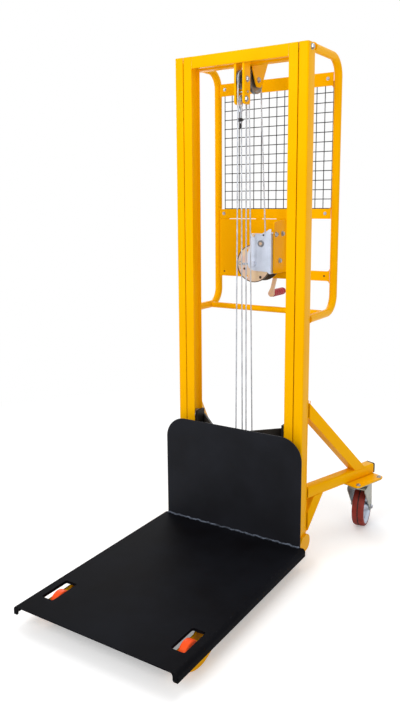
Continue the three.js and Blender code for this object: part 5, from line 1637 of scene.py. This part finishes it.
@dataclass
class Castors:
    """Top plates, swivelling forks and wheels."""

    shop: Workshop
    kingpin_x: float = 14
    kingpin_y: float = 302
    heading: float = 7
    radius: float = 80
    half: float = 23
    trail: float = 60
    plate_top: float = 207.7
    plate_wall: float = 4
    plate_half: float = 52
    plate_reach: float = 75
    race: float = 38
    race_height: float = 7
    race_gap: float = 0.3
    cup_height: float = 8
    crown_wall: float = 5
    king: float = 7
    king_nut: float = 12
    fork_half: float = 31
    fork_wall: float = 4
    boss: float = 17
    axle: float = 6
    axle_half: float = 42.5
    axle_nut: Head = Head(9, 5.2, 10, 3)
    rim: float = 69
    hub: float = 15
    hub_half: float = 30.7
    web_half: float = 12
    ribs: int = 6

    def build(self) -> None:
        """Builds both castors."""
        place = Matrix.Translation(arm_frame() @ Vector((self.kingpin_x, self.kingpin_y, 0)))
        stem = place @ Matrix.Rotation(math.radians(-ARM_SPLAY), 4, "Z")
        swivel = place @ Matrix.Rotation(math.radians(self.heading), 4, "Z")
        top = self.plate_top
        under = top - self.plate_wall
        low, race = under - self.race_height, self.race
        outline = rounded(-self.plate_half, self.plate_half, -self.plate_reach, self.plate_reach, 10)
        sheet = plate(outline, Axis.Z, under, top, edge=0.8)
        cone = turned([(0, low), (race - 8, low), (race - 2, low + 1), (race, low + 3), (race, low + 5),
                       (race - 2, under), (0, under)], Axis.Z, sides=64)
        fork_top = low - self.race_gap
        nut = fork_top - self.cup_height - self.crown_wall - 5
        king = [pin(Axis.Z, 0, 0, self.king, nut, low),
                plate(circle(0, 0, self.king_nut, 6), Axis.Z, nut, nut + 4.7, edge=0.8)]
        parts = [*coated(Coat.OLIVE_ZINC, *moved(stem, sheet, cone)), *coated(Coat.NUT, *moved(stem, *king))]
        self.shop.deliver_pair("castor_top", parts, "chassis", "castor_plate")
        for name, parts, body, node in (
                ("castor_yoke", self._fork(fork_top), "castor_fork_*", "castor_fork"),
                ("castor_rim", self._wheel(), "castor_wheel_*", "castor_wheel")):
            moved(swivel, *(mesh for mesh, _ in parts))
            self.shop.deliver_pair(name, parts, body, node)

    def _fork(self, top: float) -> Parts:
        """Pressed fork with its raceway, axle and nuts, in its own frame.

        Args:
            top: Height of the fork's upper race.

        Returns:
            Meshes with their finishes.
        """
        low, half, wall = top - self.cup_height, self.fork_half, self.fork_wall
        leg = [*arc(self.trail, self.radius, self.boss, 180, 360, 16), (67, low - 18), (62, low - 3),
               (59, low), (-43, low), (-46, low - 3), (-48, low - 12)]
        hole = circle(self.trail, self.radius, self.axle + 0.6)
        legs = [plate(leg, Axis.X, x, x + wall, (hole,), 0.8) for x in (half, -half - wall)]
        crown = plate(rounded(-half - wall, half + wall, -43, 62, 6), Axis.Z, low - self.crown_wall, low,
                      (circle(0, 0, self.king + 1, 24),), 0.8)
        race = self.race
        cup = turned([(self.king + 1, low - 0.3), (race - 4, low - 0.3), (race - 1.5, low + 2),
                      (race, top - 2.5), (race - 1, top), (self.king + 1, top)], Axis.Z, sides=64)
        axle = pin(Axis.X, self.trail, self.radius, self.axle, -self.axle_half, self.axle_half)
        nuts = self.shop.fasteners(both_ways(half + wall + 0.2, self.trail, self.radius), self.axle_nut)
        return [*coated(Coat.OLIVE_ZINC, *legs, crown, cup), *coated(Coat.NUT, axle, nuts)]

    def _wheel(self) -> Parts:
        """Wheel with its tread, the seam round it, a dished ribbed centre and a hub, in the fork's frame.

        Returns:
            Meshes with their finishes.
        """
        r, w, rim, web, hub = self.radius, self.half, self.rim, self.web_half, self.hub
        at = (0, self.trail, r)
        tread = [(rim, w - 0.4), (73, w), (r - 3.5, w - 2), (r - 1, w - 6), (r - 0.2, w - 12), (r, 2.6),
                 (r - 0.8, 2.2)]
        stripe = [(r - 4, 2.3), (r - 0.65, 2.3)]
        centre = [(self.axle + 0.4, self.hub_half), (hub, self.hub_half), (hub + 2, 28), (hub + 4, 22),
                  (24, web + 1.5), (56, web), (60, 14), (65, 21), (rim, w - 0.6)]
        parts = [(turned(both_faces(tread), Axis.X, at, 96), Coat.TREAD),
                 (turned(both_faces(stripe), Axis.X, at, 96), Coat.STRIPE),
                 (turned(both_faces(centre), Axis.X, at, 80), Coat.ZINC)]
        for side in (-1, 1):
            low, high = sorted((side * (web + 0.3), side * (web + 2.5)))
            for index in range(self.ribs):
                rib = plate(rounded(25, 55, -2, 2, 1.8, 3), Axis.Z, low, high, edge=0.5)
                turn = Matrix.Rotation(math.radians(360 / self.ribs * index), 4, "X")
                rib.transform(Matrix.Translation(at) @ turn @ Matrix.Rotation(math.radians(90), 4, "Y"))
                parts.append((rib, Coat.ZINC))
        return parts


# Push hoop and winch


@dataclass
class Hoop:
    """Push hoop, its cross bar, the guard mesh with its bars and the winch panel."""

    shop: Workshop
    x: float = 244.4
    y: float = 277
    root: float = 55.3
    top: float = 1747
    low: float = 862
    radius: float = 14
    bend: float = 62
    bar_y: float = 205
    bar_radius: float = 11
    mesh_front: float = 265.5
    mesh_back: float = 270
    mesh_x: float = -212.5
    mesh_z: float = 1234.4
    across: float = 31.6
    up: float = 33.4
    wire: float = 3.2
    columns: int = 14
    rows: int = 13
    overhang: float = 5.0
    panel_top: float = 1190
    panel_drop: float = 1.8
    tacks: tuple[tuple[float, float], ...] = ((-230, -190), (-69.5, -46), (17.5, 72))
    tack_low: float = 1194
    tack_high: float = 1198.5
    tack_step: float = 3
    plug_x: float = 212
    plug_z: float = 990
    screws: tuple[tuple[float, float], ...] = ((-209, 1681.5), (210.5, 1681.5), (-213.5, 1216.5),
                                               (210.5, 1216.5))
    screw_head: Head = Head(4.6, 2.6, 6.2, 2.0, 18)

    def build(self) -> None:
        """Builds the hoop and everything between its tubes."""
        line = bent([(self.x, self.root, self.top), (self.x, self.y, self.top), (self.x, self.y, self.low),
                     (self.x, self.root, self.low)], self.bend, 20)
        meshes = [rod(line, self.radius, 32)]
        for z in (self.top, self.low):
            ring = [Vector((a, self.root + 1.1, b)) for a, b in arc(self.x, z, self.radius + 0.4, 0, 360, 30)]
            meshes.append(self.shop.weld(ring, 1.7, 9))
        self.shop.deliver_pair("hoop_tube", coated(Coat.YELLOW, *meshes), "chassis", "push_hoop")
        reach = self.x - self.radius - 0.3
        bar = rod([Vector((-reach, self.bar_y, self.low)), Vector((reach, self.bar_y, self.low))],
                  self.bar_radius, 32)
        self.shop.deliver("cross_bar", coated(Coat.YELLOW, bar), "chassis", "hoop_cross_bar")
        for name, node in (("upper_mesh_bar", "mesh_top_bar"), ("lower_mesh_bar", "mesh_bottom_bar")):
            self.shop.deliver(name, coated(Coat.YELLOW, self.shop.carried(node, 0.6)), "chassis", node)
        spots = aimed((0, -1, 0), *((x, self.mesh_front, z) for x, z in self.screws))
        heads = self.shop.fasteners(spots, self.screw_head)
        self.shop.deliver("mesh_screws", coated(Coat.NUT, heads), "chassis")
        self._panel()
        self._mesh()

    def _panel(self) -> None:
        """Winch panel with the tacks that hold it to the bar above, and dark discs in its spare holes as
        painted shade.
        """
        front = self.mesh_front
        board = self.shop.carried("winch_panel", 0.7)
        for corner in board.vertices:
            corner.co.z -= self.panel_drop if corner.co.z > self.panel_top else 0
        meshes = [board]
        for low, high in self.tacks:
            meshes.append(block(low, high, front + 0.4, front + 4.1, self.tack_low, self.tack_high, 0.3))
            end = high - (high - low) % self.tack_step
            line = seam((low, front + 0.1, self.tack_high - 1.3), (end, front + 0.1, self.tack_high - 1.3))
            meshes.append(self.shop.weld(line, 1.5, 13))
        # Painted shade: dark brown discs fill the spare holes and stand for their dark inside.
        hole_shade_discs = [pin(Axis.Y, x, self.plug_z, 3.3, front + 1.1, front + 3.9, 16)
                 for x in (-self.plug_x, self.plug_x)]
        parts = [*coated(Coat.YELLOW, *meshes), *coated(Coat.BROWN, *hole_shade_discs)]
        self.shop.deliver("winch_board", parts, "chassis", "winch_panel")

    def _mesh(self) -> None:
        """Guard mesh of crossed wires."""
        mesh = self.shop.wire.run(bpy.data.meshes.new("none"), self.shop.coats[Coat.WIRE], across=self.across,
                                  up=self.up, wire=self.wire, columns=self.columns, rows=self.rows,
                                  overhang=self.overhang)
        place = Matrix.Translation((self.mesh_x, self.mesh_back + 3.1, self.mesh_z))
        self.shop.deliver("guard_mesh", coated(Coat.WIRE, *moved(place, mesh)), "chassis", "wire_mesh")


@dataclass
class Winch:
    """Bracket, frame, drum with its gear wheel, crank and grip; the drum's axle is at x zero."""

    shop: Workshop
    module: float = 2.5
    gear_teeth: int = 52
    pinion_teeth: int = 12
    pinion_x: float = 32
    pinion_z: float = 1112
    bracket_x: float = 77
    bracket_wall: float = 4.6
    bracket_front: float = 128
    bracket_back: float = 265.2
    bracket_low: float = 1004
    bracket_high: float = 1198
    bracket_corner: float = 9
    bracket_drop: float = 9
    bracket_flange: float = 105
    bracket_bolts: tuple[tuple[float, float], ...] = ((141.5, 1144), (194, 1145), (173, 1049))
    flange_bolts: tuple[tuple[float, float], ...] = ((92, 1030), (92, 1172))
    slot: float = 5
    slot_run: float = 24
    frame_front: float = 112
    frame_back: float = 208
    bore: float = 7.7
    flange: float = 68.5
    flange_wall: float = 3
    drum_front: float = 117
    drum_back: float = 191.3
    drum_radius: float = 44
    hole: float = 4.4
    hole_reach: float = 55
    hole_angles: tuple[float, ...] = (179, 201, 60, 300, 120, 240)
    clamp_face: float = 115.6
    clamp_bolts: tuple[tuple[float, float], ...] = ((-38.5, -2.5), (-15.5, -0.5))
    studs: tuple[Spot, ...] = ((-37.5, -20.1, 4.2), (-26, -1.5, 3.6), (-46, -2.5, 3.0), (6, 52, 4.0),
                               (28, -50, 4.0))
    gear_front: float = 194
    gear_back: float = 202
    crank_reach: float = 210
    crank_tilt: float = 14
    crank_front: float = 294.5
    crank_back: float = 302.5
    arm_half: float = 8
    shaft_end: float = 15
    grip_end: float = 13
    shaft: float = 6
    shaft_front: float = 107.7
    shaft_back: float = 298
    grip_pin: float = 5
    grip_pin_back: float = 405
    grip_length: float = 98
    grip_core: float = 13.2
    grip_rib: float = 14.5
    bracket_head: Head = Head(8.2, 5.6, 9.8, 3.6)
    axle_head: Head = Head(8.4, 2.4, 10, 3.0)
    rivet: Head = Head(5.0, 2.2, 6.2, 1.5, 18)
    clamp_nut: Head = Head(4.4, 2.0, 5.2, 1.4)

    def build(self) -> None:
        """Builds every piece of the winch."""
        self._bracket()
        self._frame()
        self._drum()
        self._crank()

    @property
    def mesh_angle(self) -> float:
        """Angle of the line from the drum's axle to the pinion's, in degrees."""
        return math.degrees(math.atan2(self.pinion_z - DRUM_Z, self.pinion_x))

    def _bracket(self) -> None:
        """Folded bracket with its slots and bolts."""
        x, wall, slot, run = self.bracket_x, self.bracket_wall, self.slot, self.slot_run
        low, high, corner, back = self.bracket_low, self.bracket_high, self.bracket_corner, self.bracket_back
        middle = self.bracket_front + corner
        side = [*arc(middle, low + corner, corner, 180, 270), (back, low), (back, high),
                *arc(middle, high - self.bracket_drop - corner, corner, 90, 180)]
        slots = tuple(rounded(y - slot, y + run, z - slot, z + slot, slot - 0.2)
                      for y, z in self.bracket_bolts)
        sheet = [plate(side, Axis.X, x - wall, x, slots, 1.0),
                 block(x - wall / 2, self.bracket_flange, back - wall, back, low, high)]
        shade = [block(x - 4.4, x - 3.4, y - slot - 1, y + run + 1, z - slot - 1, z + slot + 1, 0.3)
                 for y, z in self.bracket_bolts]
        parts = [*coated(Coat.YELLOW, *sheet), *coated(Coat.BROWN, *shade)]
        self.shop.deliver("winch_bracket_plate", parts, "chassis", "winch_bracket")
        spots = aimed((1, 0, 0), *((x, y, z) for y, z in self.bracket_bolts))
        places = [(across, back - wall - 0.2, z) for across, z in self.flange_bolts]
        spots += aimed((0, -1, 0), *places, share=0.7)
        heads = self.shop.fasteners(spots, self.bracket_head)
        self.shop.deliver("bracket_bolts", coated(Coat.NUT, heads), "chassis")

    def _frame(self) -> None:
        """Bent frame of zinc sheet that holds the drum's axle and the pinion's shaft."""
        front, back = self.frame_front, self.frame_back
        ends = [*aimed((0, -1, 0), (0, front - 0.1, DRUM_Z)), *aimed((0, 1, 0), (0, back + 0.1, DRUM_Z))]
        rivets = aimed((0, -1, 0), (2.3, front - 0.1, 1141.5))
        parts = [(self.shop.carried("winch_frame", 0.6), Coat.ZINC),
                 (pin(Axis.Y, 42, 1142, 3.5, front + 0.8, front + 2.8, 16), Coat.BROWN),
                 (self.shop.fasteners(ends, self.axle_head), Coat.NUT),
                 (self.shop.fasteners(rivets, self.rivet), Coat.GOLD)]
        self.shop.deliver("winch_side_frame", parts, "chassis", "winch_frame")

    def _teeth(self, count: int, x: float, z: float, phase: float) -> Loop:
        """Outline of a gear wheel.

        Args:
            count: Number of teeth.
            x: Its middle.
            z: Its middle's height.
            phase: Angle of the first tooth.

        Returns:
            The outline.
        """
        pitch = self.module * count / 2
        root, tip = pitch - 2.87, pitch + 2.2
        step = 360 / count
        thin = math.degrees(0.5 / pitch) / 2
        flank = ((root, 0.32 * step - thin), (pitch, 0.235 * step - thin), (tip, 0.14 * step - thin / 2))
        tooth = [*((radius, -angle) for radius, angle in flank), *reversed(flank)]
        return [(x + radius * math.cos(math.radians(phase + index * step + angle)),
                 z + radius * math.sin(math.radians(phase + index * step + angle)))
                for index in range(count) for radius, angle in tooth]

    def _drum(self) -> None:
        """Drum with pierced flanges, its gear wheel and the rope clamp on its face."""
        bore = circle(0, DRUM_Z, self.bore, 32)
        holes = tuple(circle(a, b, self.hole, 20)
                      for a, b in around(0, DRUM_Z, self.hole_reach, *self.hole_angles))
        front, back, rim, face = self.drum_front, self.drum_back, self.flange, self.clamp_face
        cheek = circle(0, DRUM_Z, rim, 96)
        hub = (0, 0, DRUM_Z)
        gear = self._teeth(self.gear_teeth, 0, DRUM_Z, self.mesh_angle + 180 / self.gear_teeth)
        start, end = front + 0.5, self.gear_front - 0.5
        barrel = [(self.bore, start), (self.drum_radius, start), (self.drum_radius, end), (self.bore, end)]
        lip = [(rim - 2.9, face), (rim, face + 0.3), (rim, face + 5.6), (rim - 2.9, face + 5.6)]
        cap = [(self.bore, face), (13, face), (14, face + 1.6), (self.bore, face + 1.6)]
        clamp = rounded(-60, -3, DRUM_Z - 7.5, DRUM_Z + 5, 5)
        eyelet = [(4.4, face - 0.6), (7.6, face - 0.6), (7.6, face + 1.4), (4.4, face + 1.4)]
        parts = [(plate(cheek, Axis.Y, front, front + self.flange_wall,
                        (bore, *holes, circle(-37.5, DRUM_Z - 20, 2.6, 14)), 0.9), Coat.GOLD),
                 (plate(cheek, Axis.Y, back, back + self.flange_wall, (bore,), 0.9), Coat.BRONZE),
                 (turned(barrel, Axis.Y, hub, 72), Coat.GOLD),
                 (plate(gear, Axis.Y, self.gear_front, self.gear_back, (bore,), 0.5), Coat.BRONZE),
                 (turned(lip, Axis.Y, hub, 96), Coat.BRONZE),
                 (turned(cap, Axis.Y, hub, 40), Coat.STEEL),
                 (plate(clamp, Axis.Y, face, face + 1.6, edge=0.5), Coat.GOLD),
                 *((pin(Axis.Y, x, DRUM_Z + rise, size, face - 0.4, face + 2.4, 18), Coat.BRONZE)
                   for x, rise, size in self.studs),
                 (turned(eyelet, Axis.Y, (-54.8, 0, DRUM_Z - 0.7), 28), Coat.STEEL)]
        self.shop.deliver("drum_with_gear", parts, "drum", "winch_drum")
        places = [(x, face - 0.3, DRUM_Z + rise) for x, rise in self.clamp_bolts]
        nuts = self.shop.fasteners(aimed((0, -1, 0), *places), self.clamp_nut)
        self.shop.deliver("rope_clamp_nuts", coated(Coat.NUT, nuts), "drum")

    def _crank(self) -> None:
        """Crank arm on the pinion's shaft, with the grip's pin and the grip."""
        x, z, shaft, nose = self.pinion_x, self.pinion_z, self.shaft, self.shaft_front
        tilt = math.radians(self.crank_tilt)
        end_x, end_z = x - self.crank_reach * math.sin(tilt), z - self.crank_reach * math.cos(tilt)
        down = 270 - self.crank_tilt
        way = Vector((math.cos(math.radians(down)), math.sin(math.radians(down))))
        side = Vector((-way.y, way.x)) * self.arm_half
        top, foot = Vector((x, z)) + way * 24, Vector((end_x, end_z)) - way * 20
        arm = [*arc(x, z, self.shaft_end, down + 65, down + 295, 18), tuple(top - side), tuple(foot - side),
               *arc(end_x, end_z, self.grip_end, down - 120, down + 120, 18), tuple(foot + side),
               tuple(top + side)]
        pinion = self._teeth(self.pinion_teeth, x, z, self.mesh_angle + 180)
        front, back, pin_end = self.crank_front, self.crank_back, self.grip_pin_back
        boss = [(0, front - 4), (11, front - 4), (12.5, front - 2.5), (12.5, back + 2.5), (11, back + 4),
                (0, back + 4)]
        collar = [(shaft, nose), (10.5, nose), (12, nose + 0.9), (12, nose + 4), (shaft, nose + 4)]
        cap = [(0, nose - 0.8), (4.6, nose - 0.8), (shaft, nose + 0.1), (shaft, nose + 1.3), (0, nose + 1.3)]
        stop = [(0, pin_end - 3.9), (9, pin_end - 3.9), (9, pin_end - 1.4), (7.4, pin_end + 0.1),
                (0, pin_end + 0.1)]
        axle, end = (x, 0, z), (end_x, 0, end_z)
        parts = [(plate(arm, Axis.Y, front, back, edge=1.2), Coat.GOLD),
                 (pin(Axis.Y, x, z, shaft, nose, self.shaft_back), Coat.NUT),
                 (turned(collar, Axis.Y, axle, 40), Coat.STEEL),
                 (turned(cap, Axis.Y, axle, 32), Coat.GOLD),
                 (plate(pinion, Axis.Y, self.gear_front + 0.6, self.gear_back - 0.3, edge=0.4), Coat.STEEL),
                 (turned(boss, Axis.Y, axle, 40), Coat.GOLD),
                 (pin(Axis.Y, end_x, end_z, self.grip_pin, self.shaft_back, pin_end), Coat.NUT),
                 (turned(stop, Axis.Y, end, 32), Coat.GOLD)]
        self.shop.deliver("crank_arm", parts, "crank", "winch_crank")
        core, rib, bore, length = self.grip_core, self.grip_rib, self.grip_pin + 0.4, self.grip_length
        profile = [(bore, 0), (core - 0.6, 0), (core, 1.2)]
        for middle in (length / 10 * (2 * index + 1) for index in range(5)):
            profile += [(core, middle - 6.2), (rib - 0.3, middle - 4.4), (rib, middle - 2.4),
                        (rib, middle + 2.4), (rib - 0.3, middle + 4.4), (core, middle + 6.2)]
        profile += [(core, length - 1.2), (core - 0.6, length), (bore, length)]
        grip = turned(profile, Axis.Y, (end_x, back + 0.3, end_z), 56)
        self.shop.deliver("grip_sleeve", coated(Coat.RED, grip), "grip", "crank_grip")


# Camera, lights and floor


@dataclass
class Studio:
    """Camera at the photograph's angle, a pale floor and soft light, in metres and radians."""

    place: Spot = (1.22649, -1.97919, 1.25625)
    yaw: float = 0.572
    pitch: float = 0.1753
    roll: float = -0.0082
    lens: float = 35.91
    sensor: float = 36
    sight: float = 200
    shift_x: float = 0.0005
    shift_y: float = -0.0366
    fill: float = 0.42
    floor_grey: float = 0.86
    floor_glow: float = 0.3
    floor_half: float = 40
    fade: tuple[float, float] = (0.9, 2.4)

    def build(self) -> None:
        """Sets up the camera, the world, the lamps and the floor."""
        scene = bpy.context.scene
        scene.view_settings.view_transform = "Standard"
        camera = bpy.data.cameras.new("camera")
        camera.lens = self.lens
        camera.sensor_width = self.sensor
        camera.shift_x = self.shift_x
        camera.shift_y = self.shift_y
        camera.clip_end = self.sight
        stand = bpy.data.objects.new("camera", camera)
        turn = (Matrix.Rotation(self.yaw, 4, "Z") @ Matrix.Rotation(math.pi / 2 - self.pitch, 4, "X")
                @ Matrix.Rotation(self.roll, 4, "Z"))
        stand.matrix_world = Matrix.Translation(self.place) @ turn
        scene.collection.objects.link(stand)
        scene.camera = stand
        self._world(scene)
        for name, place, target, size, power in (
                ("key", (-1.0, -3.7, 3.0), (0, -0.2, 0.8), 2.6, 104),
                ("side", (3.4, -2.2, 2.2), (0, 0, 0.7), 2.4, 34),
                ("crown", (0.2, 0.6, 4.2), (0, 0, 0.6), 3.0, 55),
                ("rear", (-2.6, 3.0, 2.4), (0, 0, 0.8), 2.4, 40)):
            self._lamp(name, place, target, size, power)
        self._floor(scene)

    def _world(self, scene: Scene) -> None:
        """World that is white to the camera and in reflections, and a weaker light elsewhere.

        Args:
            scene: The scene.
        """
        world = bpy.data.worlds.new("studio")
        world.use_nodes = True
        sky = Tree(world.node_tree)
        rays = sky.node("ShaderNodeLightPath").outputs
        seen = sky.math("MAXIMUM", rays["Is Camera Ray"], rays["Is Glossy Ray"])
        through = sky.math("MAXIMUM", seen, rays["Is Transmission Ray"])
        strength = sky.node("ShaderNodeMapRange", None, {
            "Value": through, "To Min": self.fill, "To Max": 1.0})
        light = sky.node("ShaderNodeBackground", None, {
            "Color": (1, 1, 1, 1), "Strength": strength.outputs[0]})
        sky.node("ShaderNodeOutputWorld", None, {0: light.outputs[0]})
        scene.world = world

    def _lamp(self, name: str, place: Spot, target: Spot, size: float, power: float) -> None:
        """Square soft lamp that points at a target.

        Args:
            name: Its name.
            place: Where it stands.
            target: Where it points.
            size: Length of its side.
            power: Its watts.
        """
        lamp = bpy.data.lights.new(name, "AREA")
        lamp.size = size
        lamp.energy = power
        stand = bpy.data.objects.new(name, lamp)
        way = Vector(target) - Vector(place)
        stand.matrix_world = Matrix.Translation(place) @ way.to_track_quat("-Z", "Y").to_matrix().to_4x4()
        bpy.context.scene.collection.objects.link(stand)

    def _floor(self, scene: Scene) -> None:
        """Pale floor that keeps the shadow and fades to white away from the lift.

        Args:
            scene: The scene.
        """
        paint = Painter("pale_floor")
        rays = paint.node("ShaderNodeLightPath")
        grey, half = self.floor_grey, self.floor_half
        matt = paint.node("ShaderNodeBsdfDiffuse", None, {"Color": (grey, grey, grey, 1)})
        glow = paint.node("ShaderNodeEmission", None, {
            "Color": (1, 1, 1, 1), "Strength": Value(paint, rays.outputs["Is Camera Ray"]) * self.floor_glow})
        both = paint.node("ShaderNodeAddShader", None, {0: matt.outputs[0], 1: glow.outputs[0]})
        away = paint.node("ShaderNodeVectorMath", {"operation": "LENGTH"}, {0: paint.place})
        white = paint.node("ShaderNodeEmission", None, {"Color": (1, 1, 1, 1), "Strength": 1.0})
        far = Value(paint, away.outputs["Value"]).ramp(*self.fade)
        whole = paint.node("ShaderNodeMixShader", None, {0: far, 1: both.outputs[0], 2: white.outputs[0]})
        paint.node("ShaderNodeOutputMaterial", None, {"Surface": whole.outputs[0]})
        mesh = bpy.data.meshes.new("floor")
        mesh.from_pydata([(-half, -half, 0), (half, -half, 0), (half, half, 0), (-half, half, 0)], [],
                         [(0, 1, 2, 3)])
        mesh.materials.append(paint.material)
        floor = bpy.data.objects.new("floor", mesh)
        scene.collection.objects.link(floor)


def corners(pair: tuple[Vector, Vector]) -> list[list[float]]:
    """Two corners as plain lists of numbers."""
    return [[float(part) for part in corner] for corner in pair]


def main() -> None:
    """Builds the studio and every sub-assembly."""
    logging.basicConfig(level=logging.INFO, format="%(name)s: %(message)s")
    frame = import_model()
    Studio().build()
    shop = Workshop(frame["nodes"])
    for assembly in (Ropes(shop), OuterMasts(shop), RearHeadBeam(shop), InnerMast(shop), Carriage(shop),
                     Base(shop), Outriggers(shop), Castors(shop), Hoop(shop), Winch(shop)):
        log.info("building %s", type(assembly).__name__)
        assembly.build()


if __name__ == "__main__":
    main()
